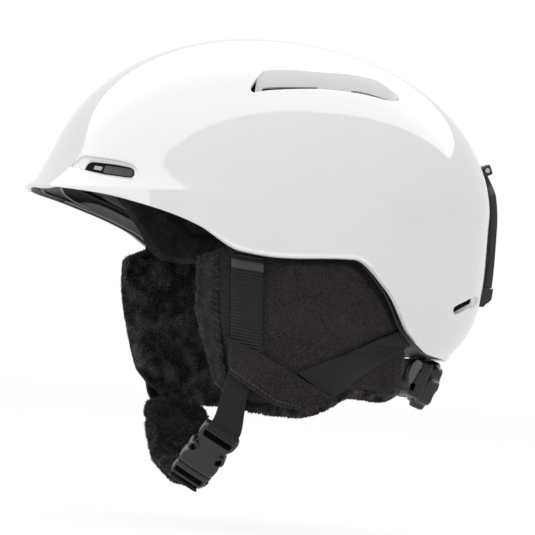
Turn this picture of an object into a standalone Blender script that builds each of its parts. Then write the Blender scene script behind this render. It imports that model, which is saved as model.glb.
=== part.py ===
# Snow helmet: shell, foam liner, ear pads, strap harness, nape fit system and goggle lock.
# Metres, +Z up, front towards -Y, the wearer's left towards +X, origin at ear level in the head opening.
import math

import bmesh
import bpy
from mathutils import Matrix, Vector

# Shell form
SHELL_FRONT = 0.134
SHELL_REAR = 0.145
SHELL_HALF_WIDTH = 0.103
SHELL_CENTRE_Y = -0.020
SHELL_EQUATOR_Z = 0.031
SHELL_RISE = 0.1055
SHELL_DROP = 0.103
SHELL_WALL = 0.0025
PLAN_POWER = 2.2
CROWN_POWER = 2.1
DROP_POWER = 3.8
BRIM_FLARE = 0.0065
BRIM_FLARE_HEIGHT = 0.010
BRIM_FLARE_Z = 0.040
BRIM_FLARE_MOST = 0.0125
BRIM_FLARE_SPREAD = 1.5
# Rim height against the angle from the front in degrees
RIM = (
    (0, 0.0352), (30, 0.0300), (45, 0.0235), (58, 0.0145), (70, 0.002), (82, 0.0), (108, 0.0025),
    (120, -0.0135), (132, -0.0385), (145, -0.0495), (160, -0.0525), (180, -0.0525),
)
DOME_SEGMENTS = 44
DOME_RINGS = 13
RING_CROWDING = 0.75

# Foam liner, measured from the shell's outside
FOAM_FRONT = 0.040
FOAM_REAR = 0.033
FOAM_SIDE = 0.025
FOAM_CROWN = 0.0285
FOAM_DROP = 0.130
FOAM_GAP = 0.0023
FOAM_LIFT = 0.0085
PIECE_GAP = 0.0003
CURVED_GAP = 0.0006

# Rim trim and brim panel
TRIM_RADIUS = 0.0013
TRIM_LIFT = 0.0016
TRIM_GAP = 0.0016
BRIM_SPAN = 56
BRIM_OUTER_INSET = 0.0102
BRIM_INNER_INSET = 0.0205
BRIM_LIFT = 0.0018
BRIM_SLOPE = 0.0036
BRIM_WALL = 0.0016

# Vents: angle from the front, height, half angle, half height, rise over the half angle and floor slope
TOP_VENT_SHARE = 0.722
VENTS = {
    "front_vent_grille": dict(
        angle=31, z=0.0435, half_angle=7.0, half_height=0.0036, rise=-0.0008, slope=0.0
    ),
    "top_vent_scoop": dict(
        angle=101.5, z=SHELL_EQUATOR_Z + TOP_VENT_SHARE * SHELL_RISE, half_angle=31,
        half_height=0.0072, rise=0.0008, slope=0.0040,
    ),
    "rear_vent_grille": dict(
        angle=154.5, z=-0.0190, half_angle=4.6, half_height=0.0036, rise=0.0042, slope=0.0
    ),
}
VENT_LAP = 0.0020
VENT_WALL = 0.0016
VENT_SEAT = 0.0042
CHANNEL_SHARE = 0.55
VENT_END_NARROWING = 0.45
VENT_COLUMN_ANGLE = 2.5

# Strap webbing
STRAP_WIDTH = 0.019
STRAP_WALL = 0.0016
STRAP_GAP = 0.0014
STRAP_CLEARANCE = 0.0004

# Ear pads: side outline as (y, z), with the right pad worn further forward
PAD_INSET = SHELL_WALL + TRIM_GAP + 2 * TRIM_RADIUS + STRAP_CLEARANCE + STRAP_WALL + STRAP_GAP
PAD_TUCK = 0.006
PAD_FRONT_Y = -0.076
PAD_FRONT_SWEEP = 0.014
PAD_REAR_Y = 0.062
PAD_TOP_FRONT_Z = -0.004
PAD_TOP_SLOPE = 0.55
PAD_BOTTOM = (
    (-0.076, -0.052), (-0.063, -0.072), (-0.051, -0.084), (-0.037, -0.0922), (-0.011, -0.0927),
    (0.007, -0.088), (0.0255, -0.080), (0.050, -0.081), (0.062, -0.0755),
)
PAD_LEAN = 0.006
PAD_LEAN_START = -0.020
PAD_LEAN_RUN = 0.070
PAD_CURL_START = 0.005
PAD_CURL_RUN = 0.040
PAD_CURL_Z = -0.047
PAD_FORWARD = {1: 0.0, -1: 0.010}
COVER_WALL = 0.003
COVER_FRONT_MARGIN = 0.014
COVER_REAR_MARGIN = 0.002
COVER_BOTTOM_MARGIN = 0.006
PLUSH_GAP = 0.0009
PLUSH_EDGE = 0.006
PLUSH_CROWN = 0.012
EDGE_TUCK = 0.0020
BORDER_SHARE = 0.16
PLUSH_RISE_SHARE = 0.55
PLUSH_FALL_SHARE = 0.35
SNAP_RADIUS = 0.0035
SNAP_DEPTH = 0.005
SNAP_PLACES = {"front": -0.030, "rear": 0.010}
SNAP_INSET = 0.0145

# Strap and sleeve outlines on the pads as (y, z) corners
FRONT_STRAP = ((-0.0610, 0.0085), (-0.0420, 0.0070), (-0.0555, -0.0620), (-0.0370, -0.0640))
REAR_STRAP = ((-0.0150, -0.0670), (0.0535, -0.0368), (0.0050, -0.0800), (0.0612, -0.0466))
SLEEVE_TOP = ((-0.064, -0.047), (-0.038, -0.058), (-0.019, -0.067), (0.008, -0.081))
SLEEVE_BOTTOM = ((-0.062, -0.0655), (-0.050, -0.0737), (-0.0275, -0.0868), (-0.010, -0.0885))
SLEEVE_WALL = 0.0016
SLEEVE_GAP = 0.0005
ANCHOR_LENGTH = 0.022
ANCHOR_HEIGHT = 0.0030
ANCHOR_INSET = 0.0045
ANCHOR_LIFT = 0.0040
ANCHOR_PLACES = {"front": -0.0505, "rear": 0.0640}
CHIN_EXIT = ((-0.055, -0.0665), (-0.042, -0.0775))
LEFT_STRAP_DOWN = Vector((0, -0.012, -0.030))
LEFT_STRAP_PULL = 0.022
RIGHT_STRAP_DOWN = Vector((0, 0, -0.085))
RIGHT_STRAP_IN = Vector((0.045, 0, 0.010))

# Side-release buckle, with its mouth's centre, pull direction and outward direction
BUCKLE_MOUTH = Vector((0.0580, -0.0640, -0.1275))
BUCKLE_PULL = Vector((-0.66, -0.306, -0.684)).normalized()
BUCKLE_FACE = Vector((0.742, -0.387, -0.544))
BUCKLE_WIDTH = 0.0246
BUCKLE_THICKNESS = 0.0086
SOCKET_LENGTH = 0.034
TONGUE_LENGTH = 0.0105
TONGUE_THICKNESS = 0.0070
MOUTH_GAP = 0.0004
CAVITY_DEPTH = 0.0222
CAVITY_MOUTH_HALF = 0.0086
CAVITY_END_HALF = 0.0101
CAVITY_HEIGHT = 0.0046
PRONG_HEIGHT = 0.0038
PRONG_LENGTH = 0.0200
PRONG_ROOT_OUT = 0.0080
PRONG_TIP_OUT = 0.0096
PRONG_WALL = 0.0024
GUIDE_WIDTH = 0.0050
WINDOW_RADIUS = 0.0032
WINDOW_X = 0.0098
WINDOW_Y = -0.0145
BAR_DEPTH = 0.0030
SLOT_WIDTH = 0.0197
SLOT_LENGTH = 0.0038
SOCKET_ROUND = 0.0022
TONGUE_ROUND = 0.0015
TONGUE_STEP = 0.0010
PRONG_ROUND = 0.0005
WRAP_SHARE = 0.6
WRAP_FROM = 60
WRAP_TO = -90

# Chin pad: front and rear edges at the tongue, under the chin and at the right strap
CHIN_FRONT = ((0.0400, -0.0735, -0.1300), (-0.0080, -0.0755, -0.1195), (-0.0480, -0.0705, -0.0920))
CHIN_REAR = ((0.0420, -0.0545, -0.1375), (0.0000, -0.0390, -0.1240), (-0.0480, -0.0340, -0.0960))
CHIN_THICKNESS = 0.013
CHIN_END_SHARE = 0.78
CHIN_END_SWELL = 0.3
CHIN_EDGE_SHARE = 0.16

# Comfort pads
CUSHION_EDGE_SHARE = 0.42
BROW_SPAN = 100
BROW_TOP_Z = 0.050
BROW_WALL = 0.0062
BROW_GAP = 0.0010
BROW_LEDGE_WALL = 0.0040
BROW_LEDGE_FULL = 46
BROW_LEDGE_END = 60
BROW_WALL_SHARE = 0.6
BROW_LOW = ((0, 0.0370), (45, 0.0270), (60, 0.0120), (75, -0.0030), (100, -0.0010))
CROWN_PAD_SPAN = 34
CROWN_PAD_WALL = 0.006
CROWN_PAD_GAP = 0.0013

# Nape fit system, in a frame tilted about X at the dial's centre
FIT_TILT = -19
FIT_BELOW_RIM = 0.0152
FIT_AHEAD_OF_RIM = 0.0122
DIAL_RADIUS = 0.0150
DIAL_LOBE = 0.0009
DIAL_LOBES = 8
DIAL_DEPTH = 0.0088
DIAL_ROUND = 0.0010
HOUSING_WIDTH = 0.040
HOUSING_DEPTH = 0.0100
HOUSING_HEIGHT = 0.024
HOUSING_GAP = 0.0006
HOUSING_BACK = 0.0012
HOUSING_ROUND = 0.0020
PINION_RADIUS = 0.0040
PINION_LENGTH = 0.0072
BAND_RADIUS = 0.070
BAND_SETBACK = 0.0060
BAND_WALL = 0.0020
BAND_CLEARANCE = 0.0005
BAND_SLOT_OVERRUN = 1.4
BAND_LOW_SHARE = 0.85
BAND_WIDENING = 8
BAND_INNER_Z = 0.0046
BAND_OUTER_Z = 0.0082
BAND_TAIL = -8
BAND_WIDE_FROM = 25
BAND_END = 42
NAPE_PAD_FROM = 24
NAPE_PAD_TO = 40.5
NAPE_PAD_WALL = 0.005
NAPE_PAD_HALF_HEIGHT = 0.0095
CRADLE_HALF_ANGLE = 10
CRADLE_TOP_Z = -0.006
CRADLE_WALL = 0.0024
CRADLE_GAP = 0.0009
CRADLE_SNAP_ANGLE = 6
CRADLE_SNAP_Z = -0.016
CRADLE_SNAP_RADIUS = 0.0025
CRADLE_SNAP_LENGTH = 0.010
CRADLE_SNAP_PROUD = 0.0006
CRADLE_EDGE_DROP = 0.002
CRADLE_STRAIGHT_SHARE = 0.7
CRADLE_FOOT_SHARE = 0.42

# Goggle lock down the shell's rear centre line
LOCK_TOP_Z = 0.066
LOCK_CLIP_Z = -0.0050
LOCK_BOTTOM_Z = -0.0170
LOCK_WIDTH = 0.022
LOCK_GAP = 0.0034
LOCK_WALL = 0.0046
LOCK_PIN_RADIUS = 0.0015
LOCK_PIN_LENGTH = 0.0240
LOCK_PIN_STAND = 0.0054
LOCK_KNUCKLE_RADIUS = 0.0034
LOCK_KNUCKLE_WIDTH = 0.0120
LOCK_EAR_WIDTH = 0.0050
LOCK_STUD_RADIUS = 0.0028
LOCK_STUD_LENGTH = 0.0040
LOCK_STUD_Z = -0.0110
LOCK_BASE_ROUND = 0.0012
LOCK_BASE_FLOOR = 0.0009
LOCK_TAPER_RUN = 0.010
LOCK_CLIP_PROUD = 0.0006
LOCK_CLIP_SLANT = 0.004
LOCK_CLIP_GAP = 0.0012
RUNNING_GAP = 0.00007
SIDE_GAP = 0.0002

WHITE_SHELL = ((0.88, 0.88, 0.88, 1), 0.12)
FOAM = ((0.03, 0.03, 0.03, 1), 0.85)
CHARCOAL = ((0.045, 0.045, 0.048, 1), 0.45)
BLACK_PLASTIC = ((0.015, 0.015, 0.016, 1), 0.5)
TWILL = ((0.028, 0.026, 0.025, 1), 0.9)
PLUSH = ((0.012, 0.012, 0.012, 1), 0.95)
LINING = ((0.016, 0.015, 0.016, 1), 0.9)
WEBBING = ((0.022, 0.022, 0.023, 1), 0.7)
RUBBER = ((0.018, 0.017, 0.018, 1), 0.6)
STEEL = ((0.45, 0.45, 0.46, 1), 0.3)


# Helpers
def smooth(points, at):
    xs = [p[0] for p in points]
    ys = [p[1] for p in points]
    at = min(max(at, xs[0]), xs[-1])
    k = max(i for i in range(len(xs) - 1) if xs[i] <= at)
    slopes = [(ys[i + 1] - ys[i]) / (xs[i + 1] - xs[i]) for i in range(len(xs) - 1)]
    tangents = [slopes[0]]
    for before, after in zip(slopes, slopes[1:]):
        flat = before * after <= 0
        tangents.append(0.0 if flat else 2 * before * after / (before + after))
    tangents.append(slopes[-1])
    h = xs[k + 1] - xs[k]
    t = (at - xs[k]) / h
    hermite = (2 * t**3 - 3 * t**2 + 1) * ys[k] + (t**3 - 2 * t**2 + t) * h * tangents[k]
    return hermite + (3 * t**2 - 2 * t**3) * ys[k + 1] + (t**3 - t**2) * h * tangents[k + 1]


def ease(t):
    t = min(max(t, 0.0), 1.0)
    return t * t * (3 - 2 * t)


def lerp(a, b, t):
    return a + (b - a) * t


def along(points, t):
    steps = len(points) - 1
    k = min(int(t * steps), steps - 1)
    return Vector(points[k]).lerp(Vector(points[k + 1]), t * steps - k)


# Shell surface: phi is the angle from the front towards the left, in degrees
def skin(depth):
    return dict(front=depth, rear=depth, side=depth, crown=depth, drop=SHELL_DROP, flare=BRIM_FLARE)


def cavity(extra):
    return dict(
        front=FOAM_FRONT + extra, rear=FOAM_REAR + extra, side=FOAM_SIDE + extra,
        crown=FOAM_CROWN + extra, drop=FOAM_DROP, flare=0.0,
    )


def rim_z(phi):
    return smooth(RIM, abs((phi + 180) % 360 - 180))


def foam_edge_z(phi):
    return rim_z(phi) + FOAM_LIFT


def plan_radius(phi, inset):
    s = abs(math.sin(math.radians(phi)))
    c = math.cos(math.radians(phi))
    length = SHELL_FRONT - inset["front"] if c > 0 else SHELL_REAR - inset["rear"]
    half_width = SHELL_HALF_WIDTH - inset["side"]
    return ((s / half_width) ** PLAN_POWER + (abs(c) / length) ** PLAN_POWER) ** (-1 / PLAN_POWER)


def tau_at(z, inset):
    if z >= SHELL_EQUATOR_Z:
        share = min((z - SHELL_EQUATOR_Z) / (SHELL_RISE - inset["crown"]), 1.0)
        return math.acos(share ** (CROWN_POWER / 2))
    return math.acos(-(((SHELL_EQUATOR_Z - z) / inset["drop"]) ** (DROP_POWER / 2)))


def form_point(phi, tau, inset):
    upper = tau <= math.pi / 2
    power = 2 / (CROWN_POWER if upper else DROP_POWER)
    reach = max(math.sin(tau), 0.0) ** power
    height = SHELL_RISE - inset["crown"] if upper else -inset["drop"]
    z = SHELL_EQUATOR_Z + height * abs(math.cos(tau)) ** power
    forward = max(math.cos(math.radians(phi)), 0.0) ** BRIM_FLARE_SPREAD
    flare = min(inset["flare"] * math.exp((BRIM_FLARE_Z - z) / BRIM_FLARE_HEIGHT), BRIM_FLARE_MOST)
    r = plan_radius(phi, inset) * reach + flare * forward * ease(reach * 2)
    turn = math.radians(phi)
    return Vector((r * math.sin(turn), SHELL_CENTRE_Y - r * math.cos(turn), z))


def ring_point(phi, z, inset):
    return form_point(phi, tau_at(z, inset), inset)


def skin_normal(phi, z):
    across = ring_point(phi + 1, z, skin(0)) - ring_point(phi - 1, z, skin(0))
    upward = ring_point(phi, z + 0.001, skin(0)) - ring_point(phi, z - 0.001, skin(0))
    return across.cross(upward).normalized()


def skin_point(phi, z, depth):
    return ring_point(phi, z, skin(0)) - skin_normal(phi, z) * depth


# Ear-pad wall: the shell's plan shape, inset, leaning in towards the jaw
def wall_point(side, y, z, inset):
    ahead = y - SHELL_CENTRE_Y
    tau = tau_at(max(z, PAD_CURL_Z), skin(0))
    curl = lerp(1, math.sin(tau) ** (2 / DROP_POWER), ease((y - PAD_CURL_START) / PAD_CURL_RUN))
    curl = curl if tau > math.pi / 2 else 1
    length = ((SHELL_FRONT if ahead < 0 else SHELL_REAR) - inset) * curl
    half_width = (SHELL_HALF_WIDTH - inset) * curl
    x = half_width * max(1 - (abs(ahead) / length) ** PLAN_POWER, 0.0) ** (1 / PLAN_POWER)
    lean = max((PAD_LEAN_START - z) / PAD_LEAN_RUN, 0.0)
    return Vector((side * (x - PAD_LEAN * lean * lean), y, z))


def wall_phi(y, inset=PAD_INSET):
    point = wall_point(1, y, 0, inset)
    return math.degrees(math.atan2(point.x, SHELL_CENTRE_Y - point.y))


# Lowest rim over a pad's whole depth at one place along it
def wall_rim(y):
    return min(rim_z(wall_phi(y)), rim_z(wall_phi(y, PAD_INSET + COVER_WALL + PLUSH_EDGE)))


# Scene, collections and materials
for old in list(bpy.data.objects):
    bpy.data.objects.remove(old)
helmet = bpy.data.collections.new("snow_helmet")
cutters = bpy.data.collections.new("cutters")
bpy.context.scene.collection.children.link(helmet)
bpy.context.scene.collection.children.link(cutters)


def add_material(name, finish):
    colour, roughness = finish
    material = bpy.data.materials.new(name + "_finish")
    material.use_nodes = True
    shader = material.node_tree.nodes["Principled BSDF"]
    shader.inputs["Base Color"].default_value = colour
    shader.inputs["Roughness"].default_value = roughness
    shader.inputs["Metallic"].default_value = 1.0 if finish is STEEL else 0.0
    return material


def add_part(name, bm, finish, frame=None):
    bmesh.ops.recalc_face_normals(bm, faces=bm.faces[:])
    if bm.calc_volume(signed=True) < 0:
        bmesh.ops.reverse_faces(bm, faces=bm.faces[:])
    mesh = bpy.data.meshes.new(name)
    bm.to_mesh(mesh)
    bm.free()
    mesh.shade_smooth()
    mesh.set_sharp_from_angle(angle=math.radians(40))
    part = bpy.data.objects.new(name, mesh)
    if finish is None:
        cutters.objects.link(part)
        part.hide_render = True
        part.display_type = "WIRE"
    else:
        helmet.objects.link(part)
        mesh.materials.append(add_material(name, finish))
    if frame:
        part.parent = frame
    return part


def add_frame(name, matrix, parent=None):
    frame = bpy.data.objects.new(name, None)
    helmet.objects.link(frame)
    frame.empty_display_size = 0.01
    frame.parent = parent
    frame.matrix_basis = matrix
    return frame


def cut(part, cutter, operation="DIFFERENCE"):
    modifier = part.modifiers.new(cutter.name, "BOOLEAN")
    modifier.operation = operation
    modifier.object = cutter
    modifier.solver = "EXACT"


def round_edges(part, width, segments=2):
    modifier = part.modifiers.new("round_edges", "BEVEL")
    modifier.width = width
    modifier.segments = segments
    modifier.limit_method = "ANGLE"


# A skin of faces given thickness: each point goes to its outer place, its copy to its inner place
def thick_body(name, bm, outer, inner, finish, frame=None):
    base = bm.verts[:]
    grown = bmesh.ops.extrude_face_region(bm, geom=bm.faces[:], use_keep_orig=True)
    copies = [item for item in grown["geom"] if isinstance(item, bmesh.types.BMVert)]
    places = [(vert, outer(vert.co)) for vert in base] + [(vert, inner(vert.co)) for vert in copies]
    for vert, place in places:
        vert.co = place
    return add_part(name, bm, finish, frame)


def dome_body(name, outer, inner, finish, segments=DOME_SEGMENTS, rings=DOME_RINGS):
    bm = bmesh.new()
    bmesh.ops.create_uvsphere(bm, u_segments=segments, v_segments=2 * rings, radius=1)
    below = [vert for vert in bm.verts if vert.co.z < -1e-4]
    bmesh.ops.delete(bm, geom=below, context="VERTS")

    def place(co, target):
        phi = math.degrees(math.atan2(co.x, -co.y))
        share = math.acos(min(max(co.z, 0.0), 1.0)) / (math.pi / 2)
        return target(phi, share)

    return thick_body(name, bm, lambda co: place(co, outer), lambda co: place(co, inner), finish)


def sheet_body(name, columns, rows, outer, inner, finish, frame=None):
    bm = bmesh.new()
    bmesh.ops.create_grid(bm, x_segments=columns, y_segments=rows, size=1)

    def place(co, target):
        return target((co.x + 1) / 2, (co.y + 1) / 2)

    return thick_body(name, bm, lambda co: place(co, outer), lambda co: place(co, inner), finish, frame)


def sheet_normal(point, u, v):
    step = 0.01
    across = point(min(u + step, 1), v) - point(max(u - step, 0), v)
    down = point(u, min(v + step, 1)) - point(u, max(v - step, 0))
    return across.cross(down).normalized()


def ribbon(name, columns, rows, point, thickness, finish, frame=None):
    def inner(u, v):
        return point(u, v) + sheet_normal(point, u, v) * thickness

    return sheet_body(name, columns, rows, point, inner, finish, frame)


def box(name, low, high, finish, frame=None):
    bm = bmesh.new()
    bmesh.ops.create_cube(bm, size=1)
    middle = (Vector(low) + Vector(high)) / 2
    size = Vector(high) - Vector(low)
    place = Matrix.Translation(middle) @ Matrix.Diagonal((*size, 1))
    bmesh.ops.transform(bm, matrix=place, verts=bm.verts[:])
    return add_part(name, bm, finish, frame)


def rod(name, start, end, radius, finish, frame=None, segments=20):
    bm = bmesh.new()
    start = Vector(start)
    run = Vector(end) - start
    bmesh.ops.create_cone(
        bm, cap_ends=True, segments=segments, radius1=radius, radius2=radius, depth=run.length
    )
    turn = run.to_track_quat("Z", "Y").to_matrix().to_4x4()
    bmesh.ops.transform(bm, matrix=Matrix.Translation(start + run / 2) @ turn, verts=bm.verts[:])
    return add_part(name, bm, finish, frame)


def side_name(side):
    return "left" if side > 0 else "right"


# Outer shell and foam liner
def shell_place(phi, share, inset):
    return form_point(phi, share**RING_CROWDING * tau_at(rim_z(phi), inset), inset)


# The liner keeps the shell's rings, with the last one raised to the foam's own edge
def liner_place(phi, share, inset):
    ring = min(share, 1 - 1 / DOME_RINGS) ** RING_CROWDING * tau_at(rim_z(phi), inset)
    edge = tau_at(foam_edge_z(phi), inset)
    return form_point(phi, edge if share > 1 - 0.5 / DOME_RINGS else min(ring, edge), inset)


def build_shell():
    return dome_body(
        "outer_shell",
        lambda phi, share: shell_place(phi, share, skin(0)),
        lambda phi, share: shell_place(phi, share, skin(SHELL_WALL)),
        WHITE_SHELL,
    )


def build_liner():
    return dome_body(
        "foam_liner",
        lambda phi, share: liner_place(phi, share, skin(SHELL_WALL + FOAM_GAP)),
        lambda phi, share: liner_place(phi, share, cavity(0)),
        FOAM,
    )


# Trim tube along the rim, just inside the shell's wall
def build_trim():
    curve = bpy.data.curves.new("rim_trim", "CURVE")
    curve.dimensions = "3D"
    curve.bevel_depth = TRIM_RADIUS
    curve.bevel_resolution = 0
    depth = SHELL_WALL + TRIM_GAP + TRIM_RADIUS
    spline = curve.splines.new("POLY")
    count = 2 * DOME_SEGMENTS
    spline.points.add(count - 1)
    for k, point in enumerate(spline.points):
        phi = 360 * k / count
        z = rim_z(phi) + TRIM_LIFT
        slant = skin_normal(phi, z).xy.length
        point.co = (*ring_point(phi, z, skin(depth / slant)), 1)
    spline.use_cyclic_u = True
    curve.materials.append(add_material("rim_trim", BLACK_PLASTIC))
    helmet.objects.link(bpy.data.objects.new("rim_trim", curve))


# Charcoal panel under the brim, rising inwards
def build_brim():
    def low(u, v):
        phi = lerp(-BRIM_SPAN, BRIM_SPAN, u)
        inset = lerp(BRIM_OUTER_INSET, BRIM_INNER_INSET, v)
        return ring_point(phi, rim_z(phi) + BRIM_LIFT + BRIM_SLOPE * v, skin(inset))

    def high(u, v):
        return low(u, v) + Vector((0, 0, BRIM_WALL))

    sheet_body("brim_underside", 24, 3, low, high, CHARCOAL)


# Vent opening and its insert: a slot on the shell's surface with drawn-in ends
def vent_patch(name, vent, side, lap, outer_depth, inner_depth, finish, share=1.0):
    turn = math.degrees(lap / plan_radius(vent["angle"], skin(0)))

    def place(u, v, depth):
        across = 2 * u - 1
        phi = vent["angle"] + across * (vent["half_angle"] * share + turn)
        half = (vent["half_height"] * share + lap) * (1 - VENT_END_NARROWING * across**4)
        z = vent["z"] + vent["rise"] * across + half * (2 * v - 1)
        return skin_point(side * phi, z, depth(v))

    columns = max(4, round(vent["half_angle"] / VENT_COLUMN_ANGLE))
    return sheet_body(
        name, columns, 2, lambda u, v: place(u, v, outer_depth), lambda u, v: place(u, v, inner_depth), finish
    )


def build_vents(shell, liner):
    seat = VENT_SEAT
    for node, vent in VENTS.items():
        for side in (1, -1):
            name = f"{node}_{side_name(side)}"
            floor = seat + VENT_WALL

            def face(v, vent=vent):
                return seat + vent["slope"] * (1 - v)

            def back(v, vent=vent):
                return floor + vent["slope"] * (1 - v)

            def pocket(v, vent=vent):
                return floor + CURVED_GAP + vent["slope"] * (1 - v)

            finish = WHITE_SHELL if vent["slope"] else BLACK_PLASTIC
            vent_patch(name, vent, side, VENT_LAP, face, back, finish)
            opening = vent_patch(
                name + "_opening", vent, side, 0, lambda v: -seat, lambda v: 2 * seat, None
            )
            cut(shell, opening)
            recess = vent_patch(
                name + "_recess", vent, side, VENT_LAP + CURVED_GAP, lambda v: SHELL_WALL / 2, pocket, None
            )
            cut(liner, recess)
            channel = vent_patch(
                name + "_channel", vent, side, 0, lambda v: seat, lambda v: FOAM_FRONT, None, CHANNEL_SHARE
            )
            cut(liner, channel)


# Ear pad outline on the wall: u runs from front to rear, v from top to bottom
def pad_edges(side, margins):
    front_margin, rear_margin, bottom_margin = margins
    shift = PAD_FORWARD[side]

    def place(u, v):
        front = PAD_FRONT_Y + front_margin + PAD_FRONT_SWEEP * v**3
        rear = PAD_REAR_Y - rear_margin
        home_y = lerp(front, rear, u)
        y = home_y - shift
        slope_top = PAD_TOP_FRONT_Z + PAD_TOP_SLOPE * (home_y - PAD_FRONT_Y)
        top = min(wall_rim(y) + PAD_TUCK, slope_top)
        bottom = smooth(PAD_BOTTOM, home_y) + bottom_margin
        return y, lerp(top, bottom, v)

    return place


def border(u, v):
    near = min(u, 1 - u, v, 1 - v)
    return 1 - ease(near / BORDER_SHARE)


def build_ear_pad(side):
    name = side_name(side)
    cover_edges = pad_edges(side, (COVER_FRONT_MARGIN, COVER_REAR_MARGIN, COVER_BOTTOM_MARGIN))
    plush_edges = pad_edges(side, (0, 0, 0))

    def cover_outer(u, v):
        return wall_point(side, *cover_edges(u, v), PAD_INSET + EDGE_TUCK / 2 * border(u, v))

    def cover_inner(u, v):
        return wall_point(side, *cover_edges(u, v), PAD_INSET + COVER_WALL)

    def plush_outer(u, v):
        tuck = EDGE_TUCK * border(u, v)
        return wall_point(side, *plush_edges(u, v), PAD_INSET + COVER_WALL + PLUSH_GAP + tuck)

    def plush_inner(u, v):
        crown = (1 - (2 * u - 1) ** 4) * ease(v / PLUSH_RISE_SHARE) * ease((1 - v) / PLUSH_FALL_SHARE)
        depth = PLUSH_EDGE + PLUSH_CROWN * crown - EDGE_TUCK * border(u, v)
        return wall_point(side, *plush_edges(u, v), PAD_INSET + COVER_WALL + PLUSH_GAP + depth)

    sheet_body(f"ear_pad_cover_{name}", 14, 8, cover_outer, cover_inner, TWILL)
    sheet_body(f"ear_pad_plush_{name}", 16, 10, plush_outer, plush_inner, PLUSH)


# Snap studs held in the foam over each ear pad
def build_snaps(side, liner):
    for place, home_y in SNAP_PLACES.items():
        y = home_y - PAD_FORWARD[side]
        foot = wall_point(side, y, rim_z(wall_phi(y)) + PAD_TUCK + CURVED_GAP, SNAP_INSET)
        name = f"ear_pad_snap_{side_name(side)}_{place}"
        rod(name, foot, foot + Vector((0, 0, SNAP_DEPTH)), SNAP_RADIUS, STEEL)
        top = foot + Vector((0, 0, SNAP_DEPTH + PIECE_GAP))
        pocket = rod(name + "_pocket", foot - Vector((0, 0, SNAP_DEPTH)), top, SNAP_RADIUS + PIECE_GAP, None)
        cut(liner, pocket)


# Straps on the pads: four (y, z) corners, and the yoke sleeve over them
def build_pad_straps(side):
    name = side_name(side)
    shift = PAD_FORWARD[side]
    strap_inset = PAD_INSET - STRAP_GAP - STRAP_WALL
    sleeve_inset = strap_inset - SLEEVE_GAP - SLEEVE_WALL

    def laid(points, anchored, inset):
        spots = []
        for k, (y, z) in enumerate(points):
            lift = wall_rim(y - shift) - wall_rim(y) if k in anchored else 0
            spots.append(Vector((y - shift, z + lift, 0)))

        def place(u, v):
            spot = spots[0].lerp(spots[1], u).lerp(spots[2].lerp(spots[3], u), v)
            return wall_point(side, spot.x, spot.y, inset)

        return place

    for node, points, anchored, columns, rows in (
        (f"front_strap_{name}", FRONT_STRAP, (0, 1), 3, 8),
        (f"rear_strap_{name}", REAR_STRAP, (1, 3), 14, 3),
    ):
        outer = laid(points, anchored, strap_inset)
        inner = laid(points, anchored, strap_inset + STRAP_WALL)
        sheet_body(node, columns, rows, outer, inner, WEBBING)

    def sleeve(inset):
        def place(u, v):
            spot = along([(*p, 0) for p in SLEEVE_TOP], u).lerp(along([(*p, 0) for p in SLEEVE_BOTTOM], u), v)
            return wall_point(side, spot.x - shift, spot.y, inset)

        return place

    sheet_body(
        f"ear_pad_sleeve_{name}", 12, 3, sleeve(sleeve_inset), sleeve(sleeve_inset + SLEEVE_WALL), TWILL
    )


# Anchor blocks between the shell's wall and the strap ends
def build_anchors(side):
    strap_inset = PAD_INSET - STRAP_GAP - STRAP_WALL - CURVED_GAP
    for place, home_y in ANCHOR_PLACES.items():
        middle = home_y - PAD_FORWARD[side]

        def block(inset, middle=middle):
            def at(u, v):
                y = middle + ANCHOR_LENGTH * (u - 0.5)
                phi = wall_phi(y)
                z = rim_z(phi) + ANCHOR_LIFT + ANCHOR_HEIGHT * v
                return ring_point(side * phi, z, skin(inset))

            return at

        name = f"strap_anchor_{side_name(side)}_{place}"
        sheet_body(name, 5, 1, block(ANCHOR_INSET), block(strap_inset), BLACK_PLASTIC)


# Buckle frame: +Y is the pull direction, +Z faces out
def buckle_matrix():
    outward = (BUCKLE_FACE - BUCKLE_PULL * BUCKLE_FACE.dot(BUCKLE_PULL)).normalized()
    sideways = BUCKLE_PULL.cross(outward)
    turn = Matrix((sideways, BUCKLE_PULL, outward)).transposed().to_4x4()
    return Matrix.Translation(BUCKLE_MOUTH) @ turn


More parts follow.
